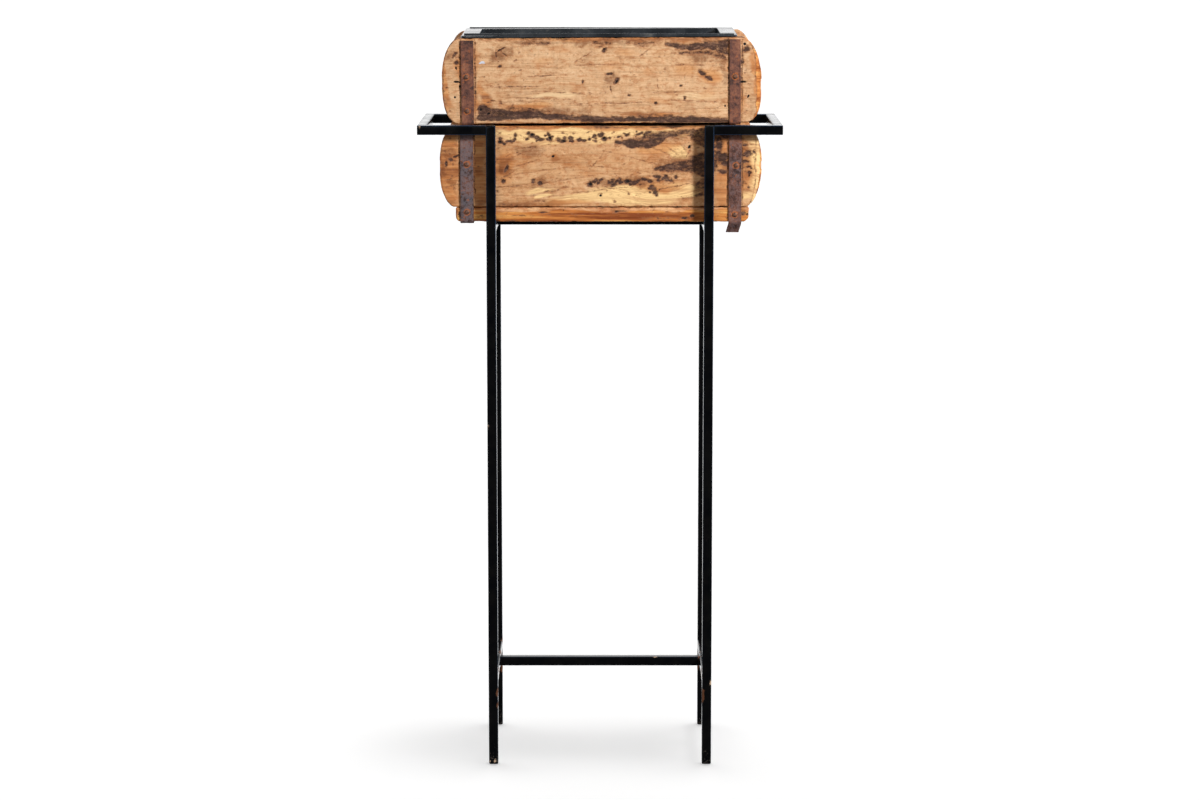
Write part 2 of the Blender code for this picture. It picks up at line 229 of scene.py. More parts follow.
class Slab:
    """A long piece lofted from rounded rectangles, with its surface coordinates kept for painting.

    axes says which world axes are its length u, its height v and its thickness w. outline gives the lowest
    and highest v along u, so a board can have curved ends. counts is how often a face and an edge are
    divided.
    """

    def __init__(self, name, axes, low, high, step, rounding, outline=None, counts=None, end_round=None):
        self.name = name
        self.axes = axes
        self.outline = outline
        u_low, self.v_low, self.w_low = (low["xyz".index(a)] for a in axes)
        u_high, self.v_high, self.w_high = (high["xyz".index(a)] for a in axes)
        inset = OUTLINE_INSET if outline else 0.0
        along = end_growing(u_high - u_low - 2 * inset, step)
        u = u_low + inset + along
        bottom, top = outline(u) if outline else (np.full_like(u, self.v_low), np.full_like(u, self.v_high))
        end_round = rounding if end_round is None else end_round
        from_end = np.minimum(along, along[-1] - along)
        rise = np.clip(end_round - from_end, 0, end_round)
        half = (top - bottom) / 2
        shrink = end_round - np.sqrt(np.maximum(end_round**2 - rise**2, 0))
        shrink = np.minimum(shrink, half * 0.5)
        radius = np.clip(half - shrink - 0.02 * MM, 0.01 * MM, rounding)
        n_face, n_edge = counts or (
            max(2, round((self.v_high - self.v_low) / step)),
            max(2, round((self.w_high - self.w_low) / max(step, 1.6 * MM))),
        )
        tv, tw, cv, cw = self.ring(n_face, n_edge).T[:, None, :]
        s = shrink[:, None]
        r = radius[:, None]
        v0 = bottom[:, None] + s + r
        v1 = top[:, None] - s - r
        w0 = self.w_low + s + r
        w1 = self.w_high - s - r
        v = v0 + (v1 - v0) * tv + r * cv
        self.shape = v.shape
        self.v = v.ravel()
        self.w = (w0 + (w1 - w0) * tw + r * cw).ravel()

        def spread(values):
            return np.broadcast_to(values, self.shape).ravel()

        self.u = spread(u[:, None])
        self.bottom = spread(bottom[:, None])
        self.top = spread(top[:, None])
        self.front = spread((tw == 0) & (cw < -0.7))
        self.back = spread((tw == 1) & (cw > 0.7))
        self.from_end = spread(from_end[:, None])
        self.to_edge = np.minimum(self.v - self.bottom, self.top - self.v)
        self.to_face = np.minimum(self.w - self.w_low, self.w_high - self.w)
        self.sink = np.zeros(self.u.size)
        self.marks = np.zeros((self.u.size, 4), np.float32)
        self.tone = np.zeros((self.u.size, 4), np.float32)

    @staticmethod
    def ring(n_face, n_edge):
        """Round a section: rows of (share along v, share along w, corner v, corner w)."""
        face = np.arange(n_face + 1) / n_face
        edge = np.arange(n_edge + 1) / n_edge
        sides = ((face, 0, 0, -1), (1, edge, 1, 0), (1 - face, 1, 0, 1), (0, 1 - edge, -1, 0))
        corners = ((1, 0), (1, 1), (0, 1), (0, 0))
        rows = []
        for side, (tv, tw) in zip(sides, corners):
            rows += np.stack(np.broadcast_arrays(*side), axis=1).astype(float).tolist()
            for turn in (22.5, 45, 67.5):
                a = math.radians(turn)
                along = np.array(side[2:]) * math.cos(a)
                across = np.array((-side[3], side[2])) * math.sin(a)
                rows.append([tv, tw, *(along + across)])
        return np.array(rows, float)

    def points(self):
        columns = {self.axes[0]: self.u, self.axes[1]: self.v, self.axes[2]: self.w}
        return np.stack([columns[a] for a in "xyz"], axis=1)

    def build(self, material, place=None):
        """Makes the object, sunk along its normals by self.sink, with the attributes marks and tone."""
        n, p = self.shape
        index = np.arange(n * p).reshape(n, p)
        nxt = np.roll(index, -1, axis=1)
        quads = np.stack([index[:-1], nxt[:-1], nxt[1:], index[1:]], axis=-1).reshape(-1, 4)
        faces = quads.tolist() + [index[0][::-1].tolist(), index[-1].tolist()]
        points = self.points()
        drawn = bpy.data.meshes.new(self.name)
        drawn.from_pydata(points.tolist(), [], faces)
        bm = bmesh.new()
        bm.from_mesh(drawn)
        bpy.data.meshes.remove(drawn)
        mesh = mesh_of(self.name, bm)
        normals = np.zeros(len(mesh.vertices) * 3, np.float32)
        mesh.vertex_normals.foreach_get("vector", normals)
        points = points - normals.reshape(-1, 3) * self.sink[:, None]
        if place is not None:
            points = place(points)
        mesh.vertices.foreach_set("co", points.astype(np.float32).ravel())
        for layer, values in (("marks", self.marks), ("tone", self.tone)):
            painted = mesh.color_attributes.new(layer, "FLOAT_COLOR", "POINT")
            painted.data.foreach_set("color", values.astype(np.float32).ravel())
        mesh.update()
        return add_object(self.name, mesh, material, 50)


def box_of(node):
    """The body of a board, a strap or a nail."""
    return node.split("_")[0] + "_box"


def finish_piece(obj, body, slot, *nodes):
    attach(obj, body)
    if nodes:
        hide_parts(*nodes)
    return obj


# ---------------------------------------------------------------- material helpers


class Value:
    """A number or colour that a node gives out. Plus, minus and times each add a math node."""

    def __init__(self, nodes, socket):
        self.nodes = nodes
        self.socket = socket

    def __add__(self, other):
        return self.nodes.math("ADD", self, other)

    def __sub__(self, other):
        return self.nodes.math("SUBTRACT", self, other)

    def __mul__(self, other):
        return self.nodes.math("MULTIPLY", self, other)


class Nodes:
    """A short way to write nodes: each method adds a node and returns what it gives out."""

    def __init__(self, owner, coordinates="Object"):
        """owner is a new world, or the name of a new material."""
        self.owner = bpy.data.materials.new(owner) if isinstance(owner, str) else owner
        self.owner.use_nodes = True
        self.tree = self.owner.node_tree
        self.place = self.add("TexCoord", coordinates, {})

    def put(self, socket, value):
        if isinstance(value, Value):
            self.tree.links.new(value.socket, socket)
        elif isinstance(value, tuple) and socket.type == "RGBA":
            socket.default_value = (*value, 1.0)
        else:
            socket.default_value = value

    def add(self, kind, output, inputs, **settings):
        node = self.tree.nodes.new("ShaderNode" + kind)
        for name, value in settings.items():
            setattr(node, name, value)
        for name, value in inputs.items():
            self.put(node.inputs[name], value)
        return Value(self, node.outputs[output])

    def math(self, operation, a, b=0.0):
        return self.add("Math", 0, {0: a, 1: b}, operation=operation)

    def moved(self, vector, by):
        return self.add("VectorMath", 0, {0: vector, 1: by}, operation="ADD")

    def split(self, vector):
        first = self.add("SeparateXYZ", 0, {0: vector})
        return [Value(self, output) for output in first.socket.node.outputs]

    def joined(self, x, y, z):
        return self.add("CombineXYZ", 0, {0: x, 1: y, 2: z})

    def noise(self, vector, scale, detail=4.0, roughness=0.55, output="Fac"):
        """Noise at a scale per metre: one number, or three to stretch it."""
        if isinstance(scale, tuple):
            vector = self.add("VectorMath", 0, {0: vector, 1: scale}, operation="MULTIPLY")
            scale = 1.0
        inputs = {"Vector": vector, "Scale": scale, "Detail": detail, "Roughness": roughness}
        return self.add("TexNoise", output, inputs)

    def between(self, value, low, high, to_low=0.0, to_high=1.0):
        """A smooth step from to_low to to_high as value goes from low to high."""
        inputs = {"Value": value, "From Min": low, "From Max": high, "To Min": to_low, "To Max": to_high}
        return self.add("MapRange", "Result", inputs, interpolation_type="SMOOTHSTEP")

    def mix(self, share, a, b, blend="MIX"):
        return self.add("Mix", 2, {"Factor": share, 6: a, 7: b}, data_type="RGBA", blend_type=blend)

    def tint(self, colour, other, mask, low, high, share=1.0):
        """Turns colour into other by up to share, as the mask goes from low to high."""
        return self.mix(self.between(mask, low, high, 0.0, share), colour, other)

    def shade(self, colour, by):
        return self.mix(1.0, colour, by, "MULTIPLY")

    def ramp(self, value, *stops):
        ramp = self.add("ValToRGB", 0, {0: value})
        elements = ramp.socket.node.color_ramp.elements
        while len(elements) < len(stops):
            elements.new(0.5)
        for element, (place, colour) in zip(elements, stops):
            element.position = place
            element.color = (*colour, 1.0)
        return ramp

    def attribute(self, name):
        """The four painted channels of a slab."""
        colour = self.add("Attribute", "Color", {}, attribute_name=name)
        split = self.add("SeparateColor", 0, {0: colour})
        sockets = [*split.socket.node.outputs, colour.socket.node.outputs["Alpha"]]
        return [Value(self, socket) for socket in sockets]

    def bump(self, height, distance, strength):
        return self.add("Bump", 0, {"Strength": strength, "Distance": distance, "Height": height})

    def surface(self, shader="Principled BSDF", **values):
        for name, value in values.items():
            self.put(self.tree.nodes[shader].inputs[name.replace("_", " ")], value)
        return self.owner


# ---------------------------------------------------------------- wood


def wood_material(name, pale, middle, deep, yellow, pith, seed, along="x", swirl=0.0):
    """Old dry timber: rings, fibre, saw marks and freckles, under what is painted on the boards.

    pith is the tree's middle, in y and z. The painted attribute marks holds dark weathering and the painted
    shadow lines beside the straps, pits, yellow heartwood and worn orange bevels. tone holds a ruddy stain, a
    grey-brown wash and chalk.
    """
    m = Nodes(name)
    x, y, z = m.split(m.place)
    if along == "y":
        x, y = y, x
    place = m.moved(m.joined(x, y, z), (seed, seed * 0.7, seed * 1.3))
    _, wander_y, wander_z = m.split(m.noise(place, (6.0, 16.0, 16.0), 3.0, output="Color"))
    ry = y - pith[0] + (wander_y - 0.5) * 0.07
    rz = z - pith[1] + (wander_z - 0.5) * 0.06
    radius = m.math("SQRT", ry * ry + rz * rz)
    if swirl:
        radius = radius + (m.noise(place, (11.0, 20.0, 20.0), 1.0) - 0.5) * swirl
    rings = m.noise(m.joined(radius * 420.0, x * 3.0, 0.0), 1.0, 5.0, 0.62)
    fibre = m.noise(place, (22.0, 560.0, 620.0), 4.0, 0.62)
    lines = m.noise(place, (9.0, 300.0, 330.0), 3.0, 0.6)
    streak = m.noise(place, (7.0, 120.0, 150.0), 5.0, 0.68)
    saw = m.noise(place, (430.0, 40.0, 22.0), 3.0, 0.6)
    broad = m.noise(place, (9.0, 20.0, 22.0), 3.0)
    blotch = m.noise(place, (60.0, 110.0, 120.0), 8.0, 0.78)
    freckle = m.noise(place, (150.0, 210.0, 230.0), 6.0, 0.74)
    ragged = m.noise(place, (190.0, 280.0, 330.0), 7.0, 0.80)
    mottle = m.noise(place, 48.0, 6.0, 0.68)
    flecks = m.noise(place, 300.0, 4.0, 0.7)

    figure = rings * 0.60 + streak * 0.40
    colour = m.ramp(figure, (0.28, deep), (0.42, middle), (0.53, pale), (0.80, pale))
    colour = m.tint(colour, middle, broad, 0.40, 0.66, 0.40)
    colour = m.tint(colour, deep, lines, 0.56, 0.68, 0.34)
    colour = m.tint(colour, deep, fibre, 0.52, 0.68, 0.34)
    colour = m.tint(colour, deep, saw, 0.54, 0.72, 0.16)
    colour = m.tint(colour, m.shade(colour, (0.56, 0.47, 0.42)), mottle, 0.50, 0.70, 0.36)
    colour = m.tint(colour, m.shade(colour, (0.74, 0.57, 0.44)), blotch, 0.49, 0.64, 0.75)
    colour = m.tint(colour, m.mix(0.5, colour, (0.88, 0.66, 0.44)), blotch, 0.46, 0.34, 0.55)
    colour = m.tint(colour, m.shade(colour, (0.74, 0.50, 0.36)), freckle, 0.50, 0.62, 0.62)
    colour = m.tint(colour, m.mix(0.5, deep, (0.10, 0.06, 0.045)), flecks, 0.58, 0.70, 0.60)
    colour = m.tint(colour, (0.88, 0.70, 0.50), flecks, 0.40, 0.28, 0.30)

    dark, pit, warm, glow = m.attribute("marks")
    ruddy, dusk, chalk, _ = m.attribute("tone")
    rough_edge = ragged * 0.72 + streak * 0.28 - 0.5
    soft_edge = mottle - 0.5 + rough_edge
    heart = m.mix(m.between(figure, 0.38, 0.56), middle, yellow)
    colour = m.tint(colour, heart, warm + rough_edge * 1.2, 0.30, 0.80)
    brown = m.ramp(
        streak, (0.34, (0.24, 0.070, 0.020)), (0.48, (0.54, 0.195, 0.056)), (0.62, (0.70, 0.34, 0.13)),
    )
    colour = m.tint(colour, brown, ruddy + soft_edge * 0.9, 0.25, 1.0, 0.85)
    colour = m.tint(colour, m.shade(colour, (0.46, 0.36, 0.31)), dusk + soft_edge * 2.2, 0.35, 1.25, 0.85)
    colour = m.tint(colour, (0.66, 0.68, 0.76), chalk + rough_edge * 1.2, 0.4, 0.7)
    orange = m.ramp(
        streak, (0.37, (0.24, 0.055, 0.012)), (0.49, (0.60, 0.200, 0.042)), (0.62, (0.88, 0.48, 0.15)),
    )
    colour = m.tint(colour, orange, glow + rough_edge * 0.7, 0.28, 0.58)

    spread = dark + rough_edge * 3.3
    colour = m.tint(colour, (0.38, 0.150, 0.060), spread, 0.12, 0.50, 0.62)
    scorch = m.noise(place, (55.0, 170.0, 230.0), 7.0, 0.72)
    clot = m.noise(place, (300.0, 420.0, 460.0), 5.0, 0.75)
    grime = m.ramp(
        scorch * 0.55 + clot * 0.45, (0.45, (0.016, 0.009, 0.011)), (0.505, (0.046, 0.024, 0.023)),
        (0.55, (0.105, 0.055, 0.043)), (0.60, (0.24, 0.130, 0.080)), (0.68, (0.46, 0.27, 0.16)),
    )
    stain = m.between(spread, 0.38, 0.92)
    colour = m.mix(stain * 0.90, colour, grime)
    hole = m.between(pit + rough_edge * 0.9, 0.42, 0.62)
    colour = m.mix(hole, colour, (0.012, 0.008, 0.007))

    fine = m.noise(place, 520.0, 3.0, 0.6)
    height = fine * 0.25 - fibre * 0.55 - m.between(lines, 0.50, 0.66) * 0.45 + rings * 0.25
    height = height - stain * ragged * 1.1 - hole * 1.2
    rough = m.between(fibre, 0.3, 0.7, 0.58, 0.72) + stain * 0.12
    normal = m.bump(height, 0.55 * MM, 0.75)
    return m.surface(Base_Color=colour, Roughness=rough, Normal=normal, Specular_IOR_Level=0.25)


# ---------------------------------------------------------------- what is painted on the boards


def covered(x, z, ovals):
    """How strongly the ovals cover each point: 1 inside, 0.5 at an oval's edge, 0 well outside.

    An oval is (x, z, half length, half height) in millimetres, and then maybe its turn in degrees.
    """
    total = np.zeros_like(x)
    for cx, cz, rx, rz, *turn in ovals:
        c = math.cos(math.radians(sum(turn)))
        s = math.sin(math.radians(sum(turn)))
        a = ((x - cx) * c + (z - cz) * s) / rx
        b = ((z - cz) * c - (x - cx) * s) / rz
        total = np.maximum(total, np.clip(1.5 - np.sqrt(a * a + b * b), 0, 1))
    return total


def banded(x, z, bands, soft=3.0):
    """How strongly the bands cover each point. A band is (strength, ((x, lowest z, highest z), ...))."""
    total = np.zeros_like(x)
    for strength, stations in bands:
        places, lows, highs = zip(*stations)
        inside = np.minimum(z - np.interp(x, places, lows), np.interp(x, places, highs) - z)
        inside = np.minimum(inside, np.minimum(x - places[0], places[-1] - x))
        total = np.maximum(total, np.clip(0.5 + inside / soft, 0, 1) * strength)
    return total


def peppered(areas, seed, stretch=0.9):
    """Small ovals strewn over areas: (first x, last x, lowest z, highest z, count, smallest, largest)."""
    rng = np.random.default_rng(seed)
    ovals = []
    for x0, x1, z0, z1, count, smallest, largest in areas:
        for _ in range(count):
            size = smallest + (largest - smallest) * rng.random() ** 2
            place = (rng.uniform(x0, x1), rng.uniform(z0, z1))
            long = size * rng.uniform(1.0, 1.0 + stretch)
            ovals.append((*place, long, size * rng.uniform(0.6, 1.0), rng.uniform(-30, 30)))
    return ovals


def warped(x, z, seed, size=8.0, reach=1.5):
    """Shifts places by a few millimetres, so that what is painted there gets a ragged outline."""
    dx = (fractal(x / size, z / size * 1.5, seed, 4) - 0.5) * reach * 4
    dz = (fractal(x / size + 31, z / size * 1.5, seed + 5, 4) - 0.5) * reach * 2.5
    return x + dx, z + dz


# Places on a board's face are x from the middle and z up from the board's lower edge, in millimetres.
UPPER_FACE = {
    # Thin dark lines along the straps' edges: painted shadow.
    "strap_shadows": ((-145.2, 45, 0.9, 60), (-129.9, 45, 0.9, 60), (133.6, 45, 0.9, 60), (147.4, 45, 0.9, 60)),
    "chalk": ((-122.5, 63.5, 3.6, 1.2), (-120, 62.6, 2.0, 0.7)),
    "bands": (
        (1.00, (
            (-128, 5, 19), (-123, 3, 21), (-118, 3, 20), (-110, 3, 16), (-97, 3.5, 14), (-84, 6, 14),
            (-66, 5, 15), (-56, 4.5, 11), (-35, 4, 10.5), (-19, 2.5, 9.5), (7, 2, 8), (46, 2.5, 8),
            (72, 1, 8.5), (98, 0, 8), (133, 0, 7),
        )),
        (0.62, ((-100, 10, 16), (-88, 12, 19), (-70, 13, 18), (-50, 10, 14))),
        (0.66, ((26, 7, 9), (40, 7, 12), (66, 7, 11), (78, 7, 9))),
        (0.92, ((66, 81, 86), (80, 77, 84), (92, 76, 83), (104, 78, 86), (118, 76, 87), (134, 71, 88))),
        (0.70, ((82, 72, 74), (100, 73, 77), (118, 70, 77), (132, 66, 75))),
        (0.46, ((-128, 86.5, 90), (-60, 86, 90), (0, 87, 90), (70, 85, 90), (134, 86, 90))),
        (0.50, ((-82, 83, 87), (-66, 80, 86), (-52, 83, 87))),
        (0.50, ((-10, 82, 87), (0, 79, 86), (12, 83, 87))),
        (0.58, ((28, 83, 88), (46, 80, 87), (62, 83, 88))),
    ),
    "ovals": (
        (4.5, 77, 3.6, 2.4, 35), (17, 45, 2.4, 4.6, -30), (11, 37, 1.0, 4, 10), (10, 52, 4.4, 1.6, 10),
        (106, 53, 4.5, 2.6, -40), (113, 48, 4.4, 2.4, -20), (88, 27, 1.6, 2.0, -30), (-18, 44, 1.4, 2.6),
        (-103, 77, 5.6, 1.0, 30), (-108, 72, 1.0, 4.4), (-99, 72, 4.4, 1.0, -30), (-149, 64, 2.8, 2.0, 20),
        (-151, 72, 4.0, 2.0, 40), (152, 78, 3, 4, -30), (148, 66, 2, 3), (-104, 60, 2.0, 1.6),
        (58, 22, 1.6, 1.4), (30, 30, 2, 1.3), (84, 40, 1.8, 1.2),
    ),
    "specks": (
        (-125, 132, 60, 88, 46, 0.5, 1.7), (-125, 132, 4, 60, 50, 0.4, 1.3),
        (-163, -146, 5, 84, 22, 0.5, 1.8), (142, 160, 10, 84, 26, 0.5, 1.9),
        (-128, -60, 12, 26, 22, 0.6, 2.0),
    ),
    "scratches": (
        (46, 74, 11, 1.1, 42), (-20, 68, 12, 0.7, 30), (60, 40, 0.7, 10), (-62, 50, 18, 0.8, 3),
        (20, 22, 30, 0.8, 2), (-40, 33, 34, 0.9, -2), (70, 33, 22, 0.8, 3), (-90, 39, 30, 0.9, 1),
        (-70, 27, 44, 0.8, -2), (95, 24, 30, 0.8, -2), (0, 62, 30, 0.7, 2), (90, 62, 26, 0.7, -3),
    ),
    "holes": (
        (-149.5, 58, 0.9, 1.8, 20), (-149, 44, 3.6, 1.0), (-145.6, 39, 1.2, 1.8), (-151, 28, 1.1, 1.4, 20),
        (148, 44, 4.4, 1.1), (154, 29, 1.0, 1.9, -25), (150, 83, 1.6, 1.6), (130, 19, 0.9, 1.2),
        (-124, 15, 1.4, 1.4), (-116, 11, 1.8, 1.0, 20), (4.5, 78, 1.2, 0.8, 30), (17, 44, 0.8, 2.2, -30),
    ),
    "warm": ((-50, 30, 30, 3, 3), (100, 30, 20, 3)),
    "foxing": (
        (8, 60, 14, 9, 20), (48, 52, 9, 7), (88, 56, 16, 10, 10), (-58, 62, 12, 6), (-20, 36, 16, 5, 4),
        (60, 26, 18, 6), (-96, 46, 12, 6), (28, 74, 16, 5, -4), (-40, 76, 14, 4), (112, 34, 10, 8),
    ),
    "ruddy": (
        (-138, 45, 10, 60), (140, 45, 8, 60), (-163, 45, 3.5, 40), (164, 40, 5, 50), (0, 89, 150, 4),
        (-80, 18, 26, 4), (52, 11, 34, 3.5), (112, 50, 12, 8), (-122, 30, 6, 20), (30, 0, 150, 3),
    ),
    "dusk": (
        (-105, 72, 14, 9), (-70, 83, 30, 4), (20, 85, 60, 4), (105, 76, 34, 10, -8), (16, 46, 9, 9),
        (-118, 12, 12, 10), (-60, 12, 60, 5), (128, 60, 5, 20), (-152, 72, 6, 8), (150, 72, 5, 8),
    ),
}

LOWER_FACE = {
    # Thin dark lines along the straps' edges: painted shadow.
    "strap_shadows": ((-146.9, 42, 0.9, 60), (-130.8, 42, 0.9, 60), (132.9, 42, 0.9, 60), (148.6, 42, 0.9, 60)),
    "bands": (
        (1.00, (
            (16, 66, 69), (24, 63.5, 70.5), (33, 62, 71), (42, 61.5, 70), (50, 62, 71), (59, 65, 73),
            (68, 70, 75), (76, 74, 78),
        )),
        (0.74, (
            (34, 69, 73), (48, 70, 75), (60, 71, 78), (72, 72, 80), (86, 75, 82), (96, 72, 82),
            (110, 68, 83),
        )),
        (0.72, ((94, 70, 80), (100, 66, 79), (108, 62, 83), (122, 60, 84))),
        (0.80, (
            (54, 39, 41), (60, 37, 44), (72, 36, 46), (85, 37, 49), (95, 36, 52), (103, 33, 55),
            (112, 30, 58),
        )),
        (0.62, ((98, 16, 26), (104, 15, 30), (110, 14, 33), (118, 14, 34))),
        (0.80, ((104, 41, 46), (112, 38, 54), (122, 36, 57))),
        (0.72, ((86, 7, 9), (96, 9, 12), (110, 12, 17))),
        (0.70, ((-84, 3, 5), (-72, 4, 7), (-56, 4.5, 8))),
        (0.58, ((-107, 1, 5), (-98, 1, 6), (-86, 2, 5))),
        (0.52, ((-60, 14, 16), (-48, 16, 19), (-36, 19, 22))),
        (0.60, ((-128, 82, 86), (-60, 82.5, 86), (30, 82, 86), (120, 83, 86))),
    ),
    "ovals": (
        (-104, 68, 3.0, 2.0), (-100, 66, 2.4, 1.6), (-94, 68.5, 4.4, 1.6), (-89, 70.5, 2.0, 1.8),
        (-88, 75, 1.6, 2.4), (-75, 77, 2.6, 2.0), (-71, 75, 3.0, 2.4), (-66, 72.5, 3.4, 2.2, -20),
        (-62, 70.5, 4.0, 1.6, 4), (-54, 76, 1.8, 2.8, 30), (-52, 71.5, 2.8, 3.2, 30), (-43, 70, 3.0, 2.2),
        (-38, 69, 4.4, 2.2, 5), (-31, 71.5, 2.6, 1.8), (-29, 69, 2.0, 1.6), (-22, 70, 3.2, 1.7),
        (-17, 69, 3.0, 1.8), (-11, 70.5, 1.9, 1.5), (-7, 73, 1.6, 1.4), (-5, 69, 2.6, 1.4, -15),
        (1, 75, 3.4, 2.4, 30), (5, 71, 3.6, 2.6), (10, 72, 1.8, 1.4), (20, 73.5, 3.0, 1.2, 20),
        (28, 75, 3.0, 1.4, 20), (40, 76, 4, 1.5, 15), (50, 78, 4, 1.6, 15), (-10, 24, 3.4, 3.0),
        (-6, 26.5, 2.4, 2.0), (-2, 25, 2.0, 1.6), (1, 28.5, 4.4, 1.8, 22), (11, 25.5, 3.4, 2.0),
        (15, 23.5, 3.4, 2.0, 20), (22, 26, 3.4, 2.4, 10), (29, 27, 4.6, 3.0), (35, 25.5, 4.0, 2.6),
        (40, 27.5, 3.0, 1.8), (46, 29, 4.4, 2.2), (52, 27, 2.6, 1.8), (59, 32, 6, 1.8, -8),
        (68, 30.5, 5, 1.8), (74, 27.5, 3.6, 1.6), (53, 20.5, 3.4, 2.4, 30), (57, 17, 3.0, 4.0, 20),
        (59, 13, 1.8, 2.4), (-70, 27, 2.4, 2.6), (-63, 25, 2.8, 2.8), (-98, 40, 2.0, 5.0, -20),
        (-101, 27, 2.4, 2.4), (-156, 50, 3, 2.4), (-160, 46, 1.6, 3), (-150, 53, 4, 1.2, 20),
        (128, 52, 7, 4.6, 10), (131, 46, 5, 3.0), (124, 56, 3, 3), (128, 37, 6, 2.6, -8), (124, 66, 4, 9),
        (130, 74, 6, 3.4), (154, 56, 5, 3.4, 8), (151, 48, 3.0, 1.6, 6), (155, 42, 2.6, 1.2),
        (151, 65, 3.4, 1.8),
    ),
    "pits": (
        (-107, -88, 67, 74, 5, 1.1, 2.0), (-76, -50, 69, 77, 8, 1.1, 2.2), (-46, -2, 68, 74, 9, 1.0, 2.0),
        (-12, 10, 70, 77, 4, 1.0, 2.0), (14, 62, 72, 79, 14, 0.9, 1.8), (-14, 40, 23, 29, 14, 1.2, 2.4),
        (40, 80, 26, 33, 10, 1.2, 2.6), (50, 62, 14, 22, 5, 1.2, 2.4), (146, 162, 36, 68, 6, 1.0, 2.2),
    ),
    "foxing": (
        (-80, 50, 20, 9, 10), (-30, 44, 16, 7), (20, 52, 20, 8), (60, 50, 18, 8, -14), (-100, 56, 10, 8),
        (-10, 36, 24, 5), (30, 36, 20, 5), (-160, 30, 8, 10), (84, 26, 12, 5),
    ),
    "specks": (
        (-107, 60, 64, 80, 44, 0.5, 1.6), (-20, 80, 14, 36, 46, 0.5, 1.9), (-110, 110, 4, 80, 56, 0.4, 1.4),
        (-166, -146, 10, 76, 34, 0.5, 2.0), (118, 162, 8, 78, 60, 0.5, 2.2),
        (-128, -108, 8, 80, 26, 0.5, 1.8), (60, 110, 66, 84, 26, 0.6, 2.4),
    ),
    "scratches": (
        (-3.5, 48, 13, 1.0, 52), (-105, 50, 15, 1.0, 24), (-80, 57, 20, 0.8, 22), (-152, 31, 14, 1.2, 24),
        (-152, 23, 14, 0.9, 14), (-60, 38, 44, 0.8, 8), (-40, 28, 50, 0.8, 9), (-90, 22, 30, 0.8, 6),
        (-100, 64, 10, 0.8, 20), (20, 40, 40, 0.8, -6), (40, 50, 34, 0.8, -14), (60, 60, 26, 0.9, -24),
        (86, 63, 10, 0.9, -50), (92, 56, 8, 0.8, 70), (80, 55, 12, 0.8, -40), (70, 20, 26, 0.8, 12),
        (-96, 34, 14, 1.0, 30), (-76, 46, 26, 0.8, 16), (0, 18, 40, 0.7, 6), (-70, 63, 22, 0.7, 8),
    ),
    "holes": (
        (0.5, 12, 1.3, 1.2), (-49, 53, 1.8, 1.2, 20), (155.5, 33, 0.9, 1.6), (93, 63, 1.4, 2.0, -30),
        (-104, 68, 1.4, 0.9), (-71, 75.5, 1.6, 1.2), (-52, 72, 1.3, 1.8, 30), (-38, 69, 2.2, 1.0),
        (4, 72, 1.6, 1.2), (-10, 24, 1.6, 1.4), (29, 27, 2.0, 1.2),
    ),
    "warm": (
        (0, 78, 150, 5), (-40, 72, 60, 6), (40, 13, 70, 9, 2), (86, 17, 28, 9), (-20, 9, 40, 6, 5),
        (162, 40, 6, 34), (-62, 18, 14, 2.4, 10), (-58, 13, 10, 1.6, 8), (150, 12, 10, 7),
        (84, 56, 12, 8, -20),
    ),
    "ruddy": (
        (-158, 40, 13, 60), (-125, 42, 9, 60), (130, 40, 14, 60), (150, 44, 12, 30), (-60, 4, 60, 5),
        (-100, 40, 12, 20, -20), (60, 60, 30, 8, 10), (0, 84, 150, 3), (-49, 53, 6, 4, 20), (60, 22, 30, 5),
    ),
    "dusk": (
        (-157, 57, 8, 7), (-162, 42, 4, 8), (-152, 28, 6, 4), (128, 50, 9, 12), (152, 50, 9, 22),
        (80, 44, 26, 10, 8), (70, 74, 34, 8, 6), (-64, 26, 9, 7), (-98, 40, 6, 10), (20, 26, 40, 8),
        (-90, 4, 24, 4), (-70, 60, 20, 8, 10),
    ),
}

BOTTOM_FACE = {
    "bands": (
        (0.46, ((-100, 13, 16), (-20, 14, 16), (60, 14, 16), (110, 13, 16))),
        (0.55, ((40, 3, 5), (60, 2, 6), (82, 3, 5))),
    ),
    "ovals": (
        (88, 4, 4, 1.8, 10), (96, 6, 3, 2.0, 20), (-146, 8, 2.4, 3), (150, 9, 3, 2.4), (142, 5, 4, 1.6),
        (-60, 10, 6, 1.0), (20, 11, 8, 1.0),
    ),
    "specks": ((-150, 155, 1, 15, 60, 0.4, 1.6),),
    "scratches": ((-20, 8, 60, 0.5, 1), (60, 9, 40, 0.5, -1), (-90, 6, 30, 0.5, 1)),
    "holes": ((154, 8, 1.0, 1.4), (-38, 12, 1.2, 0.8)),
    "warm": ((-60, 13, 60, 2.4), (60, 12, 50, 2.4)),
    "ruddy": ((0, 4, 170, 4), (-130, 8, 24, 10), (140, 8, 20, 10)),
    "dusk": ((60, 5, 30, 4), (-146, 8, 8, 8), (148, 8, 10, 8)),
}


def outline_of(node):
    """The lower and upper outline of a standing board, as a function of x."""
    places = np.array([tuple(v.co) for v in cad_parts[node].data.vertices])
    lower, upper = hull_2d(places[:, (0, 2)])

    def at(u):
        return np.interp(u, lower[:, 0], lower[:, 1]), np.interp(u, upper[:, 0], upper[:, 1])

    return at


